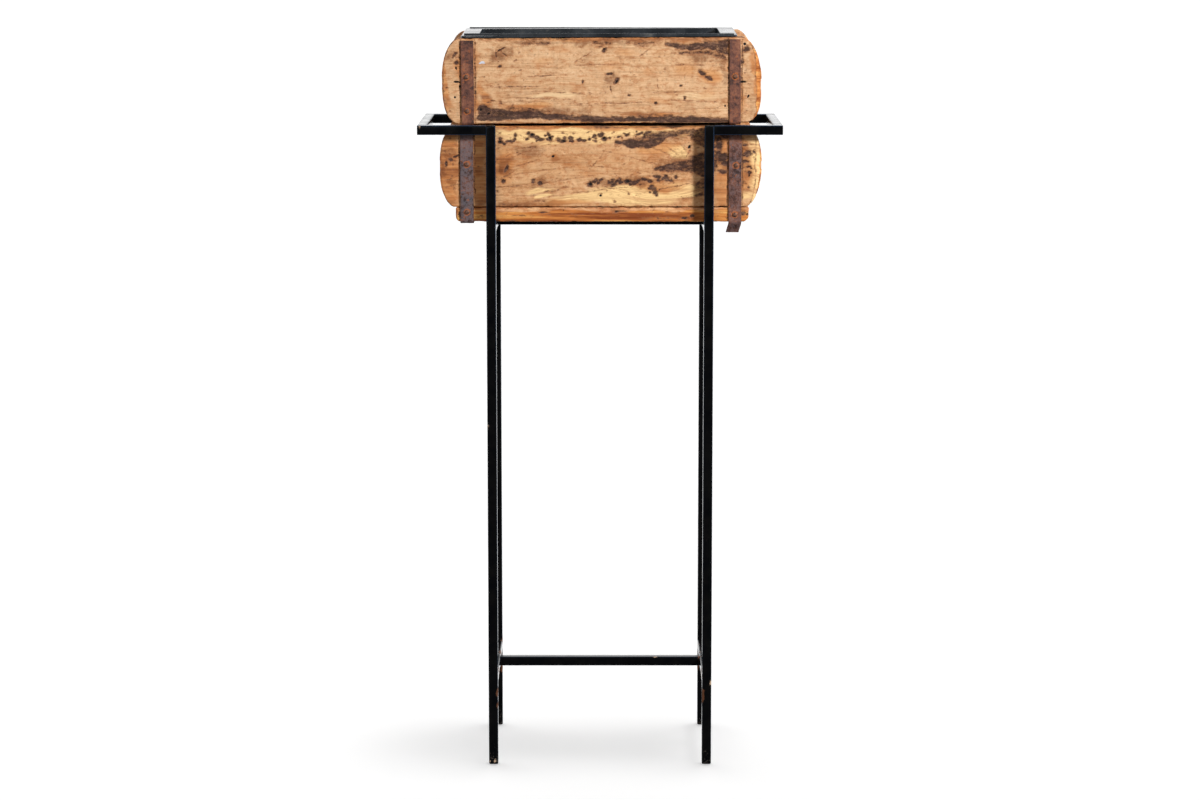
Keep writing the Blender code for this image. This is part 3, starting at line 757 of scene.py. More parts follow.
def age(slab, seed):
    """Sinks the surface: long raised grain, small dents, and edges that are worn and chipped."""
    u = slab.u / MM
    v = slab.v / MM
    w = slab.w / MM
    grain = fractal(u * 0.03, (v + w) * 0.55, seed, 3)
    dents = fractal(u * 0.16, (v + w * 0.7) * 0.16, seed + 9, 4)
    chips = fractal(u * 0.11, (v + w) * 0.07, seed + 21, 4)
    far = np.maximum(slab.to_edge, slab.to_face)
    near = np.minimum(slab.to_edge, slab.to_face)
    edge = np.exp(-far / (2.2 * MM)) * np.exp(-near / (2 * MM))
    ends = np.exp(-slab.from_end / (3 * MM))
    slab.sink += MM * (0.16 * grain + 0.35 * ease(0.58, 0.8, dents))
    slab.sink += MM * edge * (0.15 + 1.5 * ease(0.50, 0.78, chips))
    slab.sink += MM * 0.5 * ends * ease(0.4, 0.8, chips)


def random_face(low, high, seed):
    """Weathering for a face that the front view doesn't show. Its corners low and high are in millimetres."""
    rng = np.random.default_rng(seed)
    (u0, v0), (u1, v1) = low, high
    tall = v1 - v0

    def oval(share, long, thick):
        return (rng.uniform(u0, u1), v0 + tall * share, long, min(thick, tall / 3), rng.uniform(-6, 6))

    def ovals(count, places, lengths, thick):
        return [oval(rng.uniform(*places), rng.uniform(*lengths), thick) for _ in range(count)]

    bands = []
    for share in (0.04, 0.95):
        start = rng.uniform(u0, u0 + (u1 - u0) * 0.4)
        end = rng.uniform(u0 + (u1 - u0) * 0.6, u1)
        middle = v0 + tall * share
        reach = tall * 0.07
        stations = [
            (x, middle - reach * rng.uniform(0.2, 1), middle + reach * rng.uniform(0.2, 1))
            for x in np.linspace(start, end, 7)
        ]
        bands.append((rng.uniform(0.75, 1.0), stations))
    knots = [oval(rng.uniform(0.15, 0.85), rng.uniform(1.4, 4.5), rng.uniform(1.2, 3.0)) for _ in range(9)]
    long_marks = [oval(rng.uniform(0.1, 0.9), rng.uniform(8, 20), rng.uniform(1.0, 2.4)) for _ in range(4)]
    ends = [(u, (v0 + v1) / 2, 12, tall) for u in (u0, u1)]
    return {
        "bands": bands,
        "ovals": knots + long_marks,
        "specks": ((u0, u1, v0, v1, 90, 0.5, 2.0),),
        "scratches": ovals(7, (0.2, 0.8), (8, 30), 0.5),
        "holes": ovals(6, (0.2, 0.8), (0.9, 2.0), 1.2),
        "warm": ovals(3, (0.2, 0.8), (25, 60), 8),
        "ruddy": ovals(5, (0, 1), (10, 40), 10) + ends,
        "dusk": ovals(6, (0, 1), (10, 40), 12),
    }


def paint_face(slab, x, z, face, seed):
    """Fills the slab's painted channels from a face's lists, at places x and z in millimetres."""
    wx, wz = warped(x, z, seed)
    near = warped(x, z, seed, 4.0, 0.5)
    wide = warped(x, z, seed + 60, 30.0, 5.0)
    slab.marks[:, DARK] = np.maximum.reduce((
        banded(wx, wz, face["bands"]),
        covered(*near, face["ovals"]) * 1.05,
        covered(*near, peppered(face.get("pits", ()), seed + 3, 0.3)),
        covered(wx, wz, peppered(face["specks"], seed)) * 0.56,
        covered(x + (wx - x) * 0.5, z + (wz - z) * 0.5, face["scratches"]) * 0.50,
        # Painted shadow lines beside the straps.
        covered(x + (wx - x) * 0.3, z, face.get("strap_shadows", ())) * 0.75,
    ))
    slab.marks[:, PIT] = covered(x, z, face["holes"])
    slab.marks[:, WARM] = covered(*wide, face["warm"])
    foxing = covered(*wide, face.get("foxing", ()))
    slab.tone[:, RUDDY] = np.maximum(covered(*wide, face["ruddy"]), foxing * 0.6)
    slab.tone[:, DUSK] = covered(*wide, face["dusk"])
    slab.tone[:, CHALK] = covered(wx, wz, face.get("chalk", ()))


def ear_distance(slab, side):
    """How far each point lies inside the board's curved end, along x, in millimetres."""
    levels = np.linspace(slab.v_low, slab.v_high, 120)
    places = np.linspace(slab.u.min(), slab.u.max(), 800)
    bottom, top = slab.outline(places)
    outward = places * side
    edge = [outward[(bottom <= v) & (top >= v)].max(initial=outward.min()) for v in levels]
    return (np.interp(slab.v, levels, edge) - slab.u * side) / MM


def bevel_ear(slab, shown, from_face, seed, crescent, pale):
    """Wears a crescent off the board's curved end. crescent is (side, width, depth, strength).

    The worn wood glows orange, or if pale it's yellow with an orange outer line.
    """
    side, width, depth, strength = crescent
    middle = (slab.v_low + slab.v_high) / 2
    share = (slab.v - middle) / (slab.v_high - slab.v_low)
    taper = np.clip(1.25 - np.abs(share + 0.05) * 2.3, 0, 1)
    z = (slab.v - slab.v_low) / MM
    wobble = (fractal(z * 0.09, z * 0, seed + 31, 3) - 0.5) * width * 0.5
    inside = ear_distance(slab, side) + (1 - taper) * width + wobble
    band = ease(width * 1.12, width * 0.88, inside) * ease(5.0 * MM, 1.5 * MM, from_face)
    outer_line = np.exp(-(((inside - width) / 0.8) ** 2)) * 0.55 * (taper > 0.1)
    dark, _, warm, glow = slab.marks.T
    dark[:] = np.maximum(dark * (1 - band), outer_line)
    glow[:] = np.maximum(glow, band * strength)
    slab.tone[:, DUSK] *= 1 - band
    slab.sink += np.where(shown, MM * depth * ease(width, 0.5, inside), 0)
    if pale:
        warm[:] = np.maximum(warm, band * 1.3)
        glow[:] = np.where(band > 0, ease(2.2, 0.6, inside) * strength, glow)


def board_piece(slab, material, node):
    box = box_of(node)
    return finish_piece(slab.build(material), box, box.replace("box", "wood"), node)


def eared_board(node, material, step, seed, crescents, face=None, pale_right=False):
    """A side board with rounded ears. face is what's painted on its outer side, crescents are worn bevels."""
    low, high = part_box(node)
    slab = Slab(node.replace("_board", "_plank"), "xzy", low, high, step, BOARD_ROUND, outline_of(node))
    age(slab, seed)
    x = slab.u / MM
    z = (slab.v - low.z) / MM
    corners = ((low.x / MM, 0), (high.x / MM, (high.z - low.z) / MM))
    is_front = "front" in node
    shown = slab.front if is_front else slab.back
    from_face = slab.w - slab.w_low if is_front else slab.w_high - slab.w
    paint_face(slab, x, z, random_face(*corners, seed + 1), seed + 2)
    hidden = slab.marks.copy(), slab.tone.copy()
    paint_face(slab, x, z, face or random_face(*corners, seed), seed)
    slab.marks = np.where(shown[:, None], slab.marks, hidden[0])
    slab.tone = np.where(shown[:, None], slab.tone, hidden[1])
    for crescent in crescents:
        bevel_ear(slab, shown, from_face, seed, crescent, pale_right and crescent[0] > 0)
    rim = np.exp(-slab.to_edge / (1.2 * MM))
    patchy = ease(0.42, 0.72, fractal(x * 0.05, z * 0.3, seed + 40, 4))
    dark, pit, _, _ = slab.marks.T
    dark[:] = np.maximum(dark, rim * (0.25 + 0.5 * patchy))
    slab.sink += MM * shown * (0.30 * ease(0.3, 0.9, dark) + 0.8 * ease(0.4, 0.9, pit))
    return board_piece(slab, material, node)


def plain_board(node, material, axes, seed, step=MEDIUM, outline=None, edge_glow=0.0, face=None):
    """A board without ears. edge_glow is how orange its lower edge has worn."""
    low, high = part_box(node)
    slab = Slab(node.replace("_board", "_plank"), axes, low, high, step, BOARD_ROUND, outline)
    age(slab, seed)
    x = slab.u / MM
    z = (slab.v - slab.v.min()) / MM
    paint_face(slab, x, z, face or random_face((x.min(), 0), (x.max(), z.max()), seed), seed)
    slab.sink += MM * 0.25 * ease(0.3, 0.8, slab.marks[:, DARK])
    if edge_glow:
        share = (slab.v - slab.bottom) / (slab.top - slab.bottom)
        share = share + (fractal(x * 0.04, z * 0.15, seed + 3, 3) - 0.5) * 0.5
        slab.marks[:, GLOW] = edge_glow * ease(0.95, 0.45, share) * ease(0.0, 4.0 * MM, slab.from_end)
    return board_piece(slab, material, node)


def cut_corners(node, left_radius, right_radius):
    """The outline of the bottom board, seen from the front, with its two lower corners rounded off."""
    low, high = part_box(node)

    def at(u):
        rise_left = np.clip(left_radius - (u - low.x), 0, left_radius)
        rise_right = np.clip(right_radius - (high.x - u), 0, right_radius)
        lift = left_radius - np.sqrt(left_radius**2 - rise_left**2) + rise_right * 0.8
        return low.z + lift, np.full_like(u, high.z)

    return at


def build_boards():
    upper_front = wood_material(
        "upper_front_wood", (0.78, 0.50, 0.285), (0.66, 0.385, 0.20), (0.40, 0.19, 0.085), (0.84, 0.58, 0.33),
        pith=(-0.03, 0.800), seed=0.0,
    )
    lower_front = wood_material(
        "lower_front_wood", (0.76, 0.455, 0.24), (0.64, 0.345, 0.16), (0.36, 0.145, 0.055),
        (0.96, 0.66, 0.31), pith=(-0.10, 0.560), seed=3.1, swirl=0.05,
    )
    upper_back = wood_material(
        "upper_back_wood", (0.72, 0.45, 0.25), (0.60, 0.34, 0.165), (0.38, 0.17, 0.07), (0.82, 0.55, 0.29),
        pith=(0.12, 0.70), seed=5.7,
    )
    lower_back = wood_material(
        "lower_back_wood", (0.66, 0.38, 0.19), (0.54, 0.28, 0.12), (0.33, 0.135, 0.05), (0.86, 0.56, 0.26),
        pith=(0.11, 0.66), seed=8.3, swirl=0.04,
    )
    end_wood = wood_material(
        "end_board_wood", (0.62, 0.36, 0.18), (0.50, 0.26, 0.12), (0.30, 0.13, 0.05), (0.74, 0.46, 0.21),
        pith=(0.02, 0.62), seed=11.9, along="y",
    )
    bottom_wood = wood_material(
        "bottom_board_wood", (0.72, 0.35, 0.165), (0.60, 0.25, 0.10), (0.34, 0.11, 0.035), (0.84, 0.48, 0.24),
        pith=(-0.2, 0.55), seed=15.2,
    )
    upper_crescents = ((1, 6.0, 1.2, 0.62), (-1, 1.4, 0.3, 0.6))
    lower_crescents = ((1, 6.5, 1.4, 1.0), (-1, 1.6, 0.3, 0.8))
    eared_board("upper_front_board", upper_front, FINE, 11, upper_crescents, UPPER_FACE)
    eared_board("lower_front_board", lower_front, FINE, 23, lower_crescents, LOWER_FACE, pale_right=True)
    eared_board("upper_back_board", upper_back, MEDIUM, 37, ((-1, 6.0, 1.2, 0.8),))
    eared_board("lower_back_board", lower_back, MEDIUM, 51, ((-1, 5.0, 1.2, 0.8),))
    for box, seed in (("upper", 63), ("lower", 71)):
        for side in ("left", "right"):
            plain_board(f"{box}_end_board_{side}", end_wood, "yzx", seed + len(side))
    corners = cut_corners("lower_bottom_board", 5.5 * MM, 5.0 * MM)
    plain_board("lower_bottom_board", bottom_wood, "xzy", 83, BOTTOM_STEP, corners, 1.0, BOTTOM_FACE)


# ---------------------------------------------------------------- straps and nails


def rust_material():
    """Flat iron gone purple-brown, with grey scale, orange bloom, and edges darkened as a painted shadow
    line.
    """
    m = Nodes("strap_rust")
    broad = m.noise(m.place, 70.0, 6.0, 0.68)
    scale = m.noise(m.place, 300.0, 6.0, 0.75)
    grit = m.noise(m.place, 800.0, 4.0, 0.7)
    spots = m.noise(m.place, 210.0, 4.0, 0.7)
    bloom, edge, speckle, _ = m.attribute("marks")
    colour = m.ramp(
        broad * 0.5 + scale * 0.5, (0.40, (0.036, 0.015, 0.013)), (0.46, (0.095, 0.038, 0.028)),
        (0.52, (0.185, 0.070, 0.045)), (0.59, (0.29, 0.115, 0.062)), (0.67, (0.42, 0.190, 0.105)),
    )
    grey = m.between(scale + speckle * 0.14, 0.54, 0.66)
    colour = m.mix(grey * (speckle * 0.4 + 0.15), colour, (0.13, 0.145, 0.18))
    colour = m.tint(colour, (0.44, 0.130, 0.035), bloom + (scale - 0.5) * 2.0, 0.45, 0.85, 0.8)
    colour = m.tint(colour, (0.40, 0.115, 0.032), spots, 0.60, 0.68, 0.6)
    colour = m.tint(colour, (0.020, 0.012, 0.012), grit, 0.60, 0.70, 0.6)
    # Darker along the edges: a painted shadow line.
    colour = m.tint(colour, (0.055, 0.025, 0.022), edge + (scale - 0.5) * 1.6, 0.45, 0.9, 0.7)
    normal = m.bump(scale * 0.7 + grit * 0.4, 0.45 * MM, 0.9)
    rough = m.between(scale, 0.3, 0.7, 0.46, 0.78)
    metal = m.between(scale, 0.45, 0.75, 0.05, 0.35)
    m.surface(Base_Color=colour, Roughness=rough, Metallic=metal, Normal=normal)
    return m.surface(Specular_IOR_Level=0.4)


def nail_material():
    m = Nodes("nail_iron")
    spots = m.noise(m.place, 520.0, 4.0, 0.65)
    colour = m.ramp(
        spots, (0.36, (0.060, 0.036, 0.030)), (0.50, (0.14, 0.080, 0.062)), (0.62, (0.26, 0.11, 0.055)),
    )
    rough = m.between(spots, 0.3, 0.7, 0.38, 0.6)
    normal = m.bump(m.noise(m.place, 900.0, 3.0), 0.25 * MM, 0.7)
    return m.surface(Base_Color=colour, Roughness=rough, Metallic=0.55, Normal=normal)


def bent_path(corners, radius, step):
    """Even places along a path with small round bends: distances, points and outward normals."""
    corners = [np.array(c, float) for c in corners]
    points = [corners[0]]
    for before, corner, after in zip(corners, corners[1:], corners[2:]):
        start = corner + (before - corner) / np.linalg.norm(before - corner) * radius
        end = corner + (after - corner) / np.linalg.norm(after - corner) * radius
        for t in np.linspace(0, 1, 5):
            points.append(start * (1 - t) ** 2 + corner * 2 * t * (1 - t) + end * t * t)
    points = np.array([*points, corners[-1]])
    lengths = np.r_[0, np.cumsum(np.linalg.norm(np.diff(points, axis=0), axis=1))]
    places = np.union1d(np.arange(0, lengths[-1], step), lengths)
    places = places[np.r_[True, np.diff(places) > 0.15 * MM]]
    line = np.stack([np.interp(places, lengths, points[:, k]) for k in range(2)], axis=1)
    along = np.gradient(line, axis=0)
    along /= np.linalg.norm(along, axis=1)[:, None]
    return places, line, np.stack([along[:, 1], -along[:, 0]], axis=1)


def strap(node, material, corners, width, seed, nails, end_lean=0.0, speckle=0.0):
    """A strap: a thin slab built straight, then wrapped round its path of (y, z) corners.

    It leans sideways by what its box leaves over, and its last stretch by end_lean more.
    """
    low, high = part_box(node)
    places, line, normals = bent_path(corners, STRAP_BEND, STRAP_STEP)
    straight_low = (0.0, -width / 2, 0.0)
    straight_high = (places[-1], width / 2, STRAP_THICKNESS)
    slab = Slab(
        node + "_iron", "xyz", straight_low, straight_high, STRAP_STEP, STRAP_ROUND, counts=(10, 1),
        end_round=STRAP_END_ROUND,
    )
    u = slab.u / MM
    v = slab.v / MM
    side_wave = (fractal(u * 0.045, np.zeros_like(u) + np.sign(v) * 7, seed, 3) - 0.35) * 0.9
    slab.sink += MM * (0.05 + 0.16 * ease(0.5, 0.8, fractal(u * 0.35, v * 0.35, seed + 5, 4)))
    lean = max(0.0, (high.x - low.x) - width - abs(end_lean))

    def wrap(points):
        s, across, out = points.T
        y, z = (np.interp(s, places, line[:, k]) for k in range(2))
        normal_y, normal_z = (np.interp(s, places, normals[:, k]) for k in range(2))
        out = out - STRAP_THICKNESS / 2
        across = across - np.sign(across) * np.clip(side_wave, 0, 0.7) * MM
        z = z + normal_z * out
        leaning = lean * np.clip((high.z - z) / (high.z - low.z), 0, 1)
        hang = end_lean * ease(0.0, TAB_REACH, low.z + TAB_REACH - z)
        x = low.x + abs(end_lean) + width / 2 + across + leaning + hang
        return np.stack([x, y + normal_y * out, z], axis=1)

    rest = wrap(slab.points())
    bloom, edge, grey, _ = slab.marks.T
    for place in nails:
        distance = np.linalg.norm(rest - np.array(place), axis=1) / MM
        bloom[:] = np.maximum(bloom, ease(6.0, 2.8, distance) * 0.9)
    # edge: how near the strap's edges, where a painted shadow line darkens it.
    edge[:] = np.exp(-slab.to_edge / (0.9 * MM))
    grey[:] = speckle
    return finish_piece(slab.build(material, wrap), box_of(node), "rusted_iron", node)


def nail_head(node, material, seed):
    """A hammered round head on a short shank."""
    low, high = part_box(node)
    centre = (low + high) / 2
    radius = (high.x - low.x) / 2
    facing = -1 if "front" in node else 1
    face = low.y if facing < 0 else high.y
    bm = bmesh.new()
    rings = []
    for share, depth in HEAD_PROFILE:
        ring = []
        for k in range(1 if share == 0 else HEAD_SIDES):
            angle = 2 * math.pi * k / HEAD_SIDES
            dent = 0.93 + 0.07 * math.sin(angle * 3 + seed) * math.cos(angle * 2 + seed * 1.7)
            r = radius * share * dent
            y = face - facing * HEAD_THICKNESS * (depth + 0.96 * (1 - dent) * (1 - share))
            ring.append(bm.verts.new((centre.x + r * math.cos(angle), y, centre.z + r * math.sin(angle))))
        rings.append(ring)
    tip = rings[0][0]
    for k in range(HEAD_SIDES):
        bm.faces.new((tip, rings[1][k], rings[1][(k + 1) % HEAD_SIDES]))
    bridge(bm, rings[1:])
    bm.faces.new(rings[-1])
    head = add_object(node + "_head", mesh_of(node + "_head", bm), material)
    return finish_piece(head, box_of(node), "nail_iron", node)


def u_corners(node):
    """The middle line of a U-shaped strap, from its box."""
    low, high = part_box(node)
    half = STRAP_THICKNESS / 2
    y_front = low.y + half
    y_back = high.y - half
    return [(y_front, high.z), (y_front, low.z + half), (y_back, low.z + half), (y_back, high.z)]


def build_straps_and_nails():
    rust = rust_material()
    nail_iron = nail_material()
    places = {}
    for k, node in enumerate(sorted(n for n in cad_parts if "_nail_" in n)):
        low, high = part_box(node)
        middle = (low + high) / 2
        places[node] = (middle.x, low.y if "front" in node else high.y, middle.z)
        nail_head(node, nail_iron, k)

    def nailed_strap(node, corners, seed, **more):
        box, _, side = node.split("_")[:3]
        nails = [place for name, place in places.items() if name.startswith(f"{box}_nail_{side}")]
        strap(node, rust, corners, STRAP_WIDTHS[f"{box}_{side}"], seed, nails, **more)

    nailed_strap("upper_strap_left", u_corners("upper_strap_left"), 5)
    nailed_strap("upper_strap_right", u_corners("upper_strap_right"), 6)
    nailed_strap("lower_strap_left", u_corners("lower_strap_left"), 7, speckle=1.0)
    half = STRAP_THICKNESS / 2
    low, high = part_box("lower_strap_right_front")
    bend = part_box("lower_bottom_board")[0].z - 1.0 * MM
    front = [(low.y + half, high.z), (low.y + half, bend), (high.y - half, low.z + half * 0.6)]
    nailed_strap("lower_strap_right_front", front, 8, end_lean=TAB_LEAN, speckle=0.6)
    low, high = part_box("lower_strap_right_back")
    back = [(low.y, low.z + half), (high.y - half, low.z + half), (high.y - half, high.z)]
    nailed_strap("lower_strap_right_back", back, 9)


# ---------------------------------------------------------------- the stand


def paint_material():
    """Gloss black paint brushed on square bar, with chips down to primer and brown iron, and a painted bluish
    highlight along its corners, strongest high up.
    """
    m = Nodes("black_paint")
    orange_peel = m.noise(m.place, 260.0, 3.0, 0.5)
    runs = m.noise(m.place, (120.0, 120.0, 14.0), 3.0)
    dust = m.noise(m.place, 70.0, 5.0, 0.65)
    speck = m.noise(m.place, 520.0, 4.0, 0.7)
    chips, brown, foot, corner = m.attribute("marks")
    colour = m.ramp(dust, (0.35, (0.0016, 0.0016, 0.0022)), (0.65, (0.0042, 0.0038, 0.0036)))
    painted_highlight_height = m.between(m.split(m.place)[2], 0.40, 0.62, 0.25, 1.0)
    # A painted bluish highlight along the rounded corners, stronger higher up.
    colour = m.mix(m.between(corner, 0.35, 0.95) * painted_highlight_height, colour, (0.020, 0.038, 0.075))
    bare = m.between(brown + (dust - 0.5) * 1.8, 0.45, 0.62)
    colour = m.mix(bare * 0.8, colour, (0.13, 0.050, 0.022))
    colour = m.tint(colour, (0.16, 0.14, 0.12), foot * 0.16 + speck, 0.70, 0.80, 0.55)
    chip = m.between(chips + (speck - 0.5) * 1.2, 0.48, 0.66)
    colour = m.mix(chip, colour, (0.50, 0.36, 0.25))
    broken = m.math("MAXIMUM", bare, chip)
    rough = m.between(dust, 0.3, 0.7, 0.13, 0.24) + m.math("MAXIMUM", broken, corner * 0.4) * 0.4
    normal = m.bump(orange_peel * 0.5 + runs * 0.5 - broken * 0.5, 0.25 * MM, 0.22)
    m.surface(Base_Color=colour, Roughness=rough, Normal=normal)
    return m.surface(IOR=1.24, Specular_Tint=(0.62, 0.82, 1.0))


# Chips in the paint: x, y, z and radius in millimetres
PAINT_CHIPS = (
    (-187, -90, 680, 1.6), (-118, -90, 672, 0.8), (118, -90, 671, 0.8), (-118, -90, 364, 1.2),
    (-110, -90, 340, 1.1), (-118, -90, 272, 1.1), (118, -90, 272, 1.0), (-112, -90, 4, 1.8),
    (-117, -90, 3, 1.2), (118, -90, 90, 0.9), (109, -85, 73, 1.4), (186, -82, 682, 1.3),
    (-184, 30, 682, 1.5), (190, 20, 676, 1.4), (-190, -20, 679, 1.2), (113, 90, 410, 1.3),
    (-116, 90, 520, 1.2), (118, 85, 200, 1.2), (-118, -84, 150, 1.0), (60, -5, 98, 1.0),
)


def paint_bar(slab):
    """Marks for the paint: chips, brown patches low on the frame, scuffs near the floor, and worn corners
    that are rougher and carry a painted bluish highlight.
    """
    points = slab.points() / MM
    x, y, z = points.T
    chips, brown, foot, corner = slab.marks.T
    for *place, radius in PAINT_CHIPS:
        distance = np.linalg.norm(points - np.array(place), axis=1)
        chips[:] = np.maximum(chips, np.clip(1.5 - distance / radius, 0, 1))
    low_frame = ease(112, 85, z) * ease(55, 70, z)
    inner_side = ease(113, 109, np.abs(x)) * ease(105, 107, np.abs(x))
    patches = ease(0.42, 0.7, fractal(y * 0.05 + x * 0.02, z * 0.1, 77, 3))
    brown[:] = low_frame * inner_side * (0.2 + patches)
    foot[:] = ease(40, 0, z)
    # corner: worn, rougher corners, and the mask for the painted bluish highlight.
    corner[:] = ease(1.1 * MM, 0.35 * MM, np.maximum(slab.to_edge, slab.to_face))


def bar(node, axes, material, grow_low=0.0, grow_high=0.0, end_round=0.0):
    """A square bar, grown a little at the ends that are welded on, so no gap shows."""
    low, high = map(list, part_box(node))
    k = "xyz".index(axes[0])
    low[k] -= grow_low
    high[k] += grow_high
    slab = Slab(node + "_steel", axes, low, high, BAR_STEP, BAR_ROUND, counts=(3, 3), end_round=end_round)
    seed = 100 + sum(map(ord, node)) % 50
    slab.sink += MM * 0.06 * fractal(slab.u / MM * 0.03, (slab.v + slab.w) / MM * 0.05, seed, 3)
    paint_bar(slab)
    return finish_piece(slab.build(material), "stand", "stand_paint", node)


def fillet(name, corner, along, size, directions, material):
    """A weld: a bead with a hollow face that fills the corner between two bars.

    corner is a point on the inner edge. The bead runs on the world axis called along. directions is the
    other two axes, each with the sign of the way its bar runs.
    """
    k = "xyz".index(along)
    (a, sign_a), (b, sign_b) = (("xyz".index(axis), sign) for axis, sign in directions)
    bm = bmesh.new()

    def vertex(t, out_a, out_b):
        point = list(corner)
        point[k] += (t - 0.5) * WELD_LENGTH
        point[a] += sign_a * out_a
        point[b] += sign_b * out_b
        return bm.verts.new(point)

    rings = []
    for row in range(WELD_ROWS):
        t = row / (WELD_ROWS - 1)
        ripple = 1.0 + 0.10 * math.sin(row * 2.1 + corner[0] * 900) + 0.06 * math.sin(row * 5.3)
        reach = size * ripple * min(1.0, 0.55 + 2.2 * min(t, 1 - t))
        ring = []
        for step in range(WELD_STEPS + 1):
            angle = math.pi / 2 * step / WELD_STEPS
            out_a = reach * (1 - math.sin(angle)) - 0.2 * MM
            out_b = reach * (1 - math.cos(angle)) - 0.2 * MM
            ring.append(vertex(t, out_a, out_b))
        ring.append(vertex(t, -WELD_ROOT, -WELD_ROOT))
        rings.append(ring)
    bridge(bm, rings)
    bm.faces.new(rings[0])
    bm.faces.new(rings[-1])
    mesh = mesh_of(name, bm)
    mesh.color_attributes.new("marks", "FLOAT_COLOR", "POINT")
    mesh.color_attributes["marks"].data.foreach_set("color", np.zeros(4 * len(mesh.vertices), np.float32))
    return finish_piece(add_object(name, mesh, material, 60), "stand", "stand_paint")


def edge_at(node, axis, sign):
    """Where a piece's box lies on an axis: its low end for -1, its high end for 1, its middle for 0."""
    low, high = (getattr(corner, axis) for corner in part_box(node))
    return (low, (low + high) / 2, high)[sign + 1]


def weld_levels(name):
    """Bars that bear the box are welded from below only, so that it lies flat on them."""
    return (("under", -1),) if "bearer" in name else (("under", -1), ("over", 1))


def add_welds(paint):
    """Fillets at every inner corner of the frame."""
    for side, sign in SIDES:
        for depth, facing in DEPTHS:
            leg = f"leg_{depth}_{side}"
            rail = f"handle_{depth}_bar_{side}"
            corner = (edge_at(leg, "x", sign), edge_at(leg, "y", 0), edge_at(rail, "z", -1))
            fillet(f"weld_handle_{depth}_{side}", corner, "y", 2.6 * MM, (("x", sign), ("z", -1)), paint)
            inner = edge_at(f"handle_side_bar_{side}", "x", -sign)
            corner = (inner, edge_at(rail, "y", -facing), edge_at(rail, "z", 0))
            fillet(f"weld_loop_{depth}_{side}", corner, "z", 2.0 * MM, (("x", -sign), ("y", -facing)), paint)
            for name in CROSS_BARS.values():
                for where, up in weld_levels(name):
                    weld = f"weld_{name}_{depth}_{side}_{where}"
                    level = edge_at(f"{name}_{side}", "z", up)
                    corner = (edge_at(leg, "x", 0), edge_at(leg, "y", -facing), level)
                    fillet(weld, corner, "x", 2.2 * MM, (("y", -facing), ("z", up)), paint)
        for name, side_bar in CROSS_BARS.items():
            weld = f"weld_{name}_{side}"
            inner = edge_at(f"{side_bar}_{side}", "x", -sign)
            for where, up in weld_levels(name):
                corner = (inner, edge_at(name, "y", 0), edge_at(name, "z", up))
                fillet(f"{weld}_{where}", corner, "y", 1.8 * MM, (("x", -sign), ("z", up)), paint)
            for where, facing in DEPTHS:
                corner = (inner, edge_at(name, "y", facing), edge_at(name, "z", 0))
                fillet(f"{weld}_{where}", corner, "z", 2.4 * MM, (("x", -sign), ("y", facing)), paint)


def build_stand():
    paint = paint_material()
    for side, sign in SIDES:
        for depth, _ in DEPTHS:
            bar(f"leg_{depth}_{side}", "zxy", paint, end_round=FOOT_ROUND)
            grow = (0.0, WELD_GAP) if sign < 0 else (WELD_GAP, 0.0)
            bar(f"handle_{depth}_bar_{side}", "xzy", paint, *grow, end_round=HANDLE_ROUND)
        for name in ("handle_side_bar", "lower_stretcher", "box_bearer"):
            bar(f"{name}_{side}", "yzx", paint, WELD_GAP, WELD_GAP)
    for name in CROSS_BARS:
        bar(name, "xzy", paint, WELD_GAP, WELD_GAP)
    add_welds(paint)


# ---------------------------------------------------------------- the liner


def liner_material():
    m = Nodes("liner_paint")
    cloud = m.noise(m.place, 30.0, 5.0, 0.6)
    grit = m.noise(m.place, 500.0, 3.0)
    runs = m.noise(m.place, (60.0, 60.0, 9.0), 4.0)
    colour = m.ramp(
        cloud * 0.6 + runs * 0.4,
        (0.35, (0.010, 0.012, 0.015)), (0.6, (0.030, 0.036, 0.044)), (0.75, (0.075, 0.080, 0.082)),
    )
    colour = m.tint(colour, (0.20, 0.19, 0.175), cloud + grit * 0.3, 0.74, 0.90, 0.4)
    rough = m.between(cloud, 0.3, 0.7, 0.16, 0.34)
    normal = m.bump(grit + cloud * 2.0, 0.30 * MM, 0.4)
    return m.surface(Base_Color=colour, Roughness=rough, Normal=normal, IOR=1.5)


def build_liner():
    """The tray again, divided finely so that its thin rim can wave a little."""
    bm = bmesh.new()
    bm.from_mesh(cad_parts["liner_tray"].data)
    bmesh.ops.remove_doubles(bm, verts=bm.verts, dist=1e-6)
    bmesh.ops.dissolve_limit(bm, angle_limit=math.radians(1), verts=bm.verts, edges=bm.edges)
    bmesh.ops.triangulate(bm, faces=[f for f in bm.faces if len(f.verts) > 4])
    for _ in range(5):
        long_edges = [e for e in bm.edges if e.calc_length() > TRAY_STEP]
        if not long_edges:
            break
        bmesh.ops.subdivide_edges(bm, edges=long_edges, cuts=1, use_grid_fill=True)
        bmesh.ops.triangulate(bm, faces=[f for f in bm.faces if len(f.verts) > 4])
    co = np.array([tuple(v.co) for v in bm.verts]) / MM
    low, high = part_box("liner_tray")
    wave = fractal(co[:, 0] * 0.018, co[:, 1] * 0.03 + co[:, 2] * 0.03, 91, 2)
    places = (low.y, low.y + RIM_DEPTH, high.y - RIM_DEPTH, high.y)
    sags = (0.15, 0.85, 0.0, 0.15)
    for vert, share in zip(bm.verts, wave):
        if vert.co.z > high.z - RIM_REACH:
            vert.co.z -= np.interp(vert.co.y, places, sags) * MM + share * 0.15 * MM
    material = liner_material()
    tray = add_object("liner_sheet", mesh_of("liner_sheet", bm), material, 35)
    bevel = tray.modifiers.new("edges", "BEVEL")
    bevel.width = 0.35 * MM
    bevel.segments = 2
    bevel.limit_method = "ANGLE"
    bevel.angle_limit = math.radians(40)
    finish_piece(tray, "liner", "liner_paint", "liner_tray")
    add_hems(material)


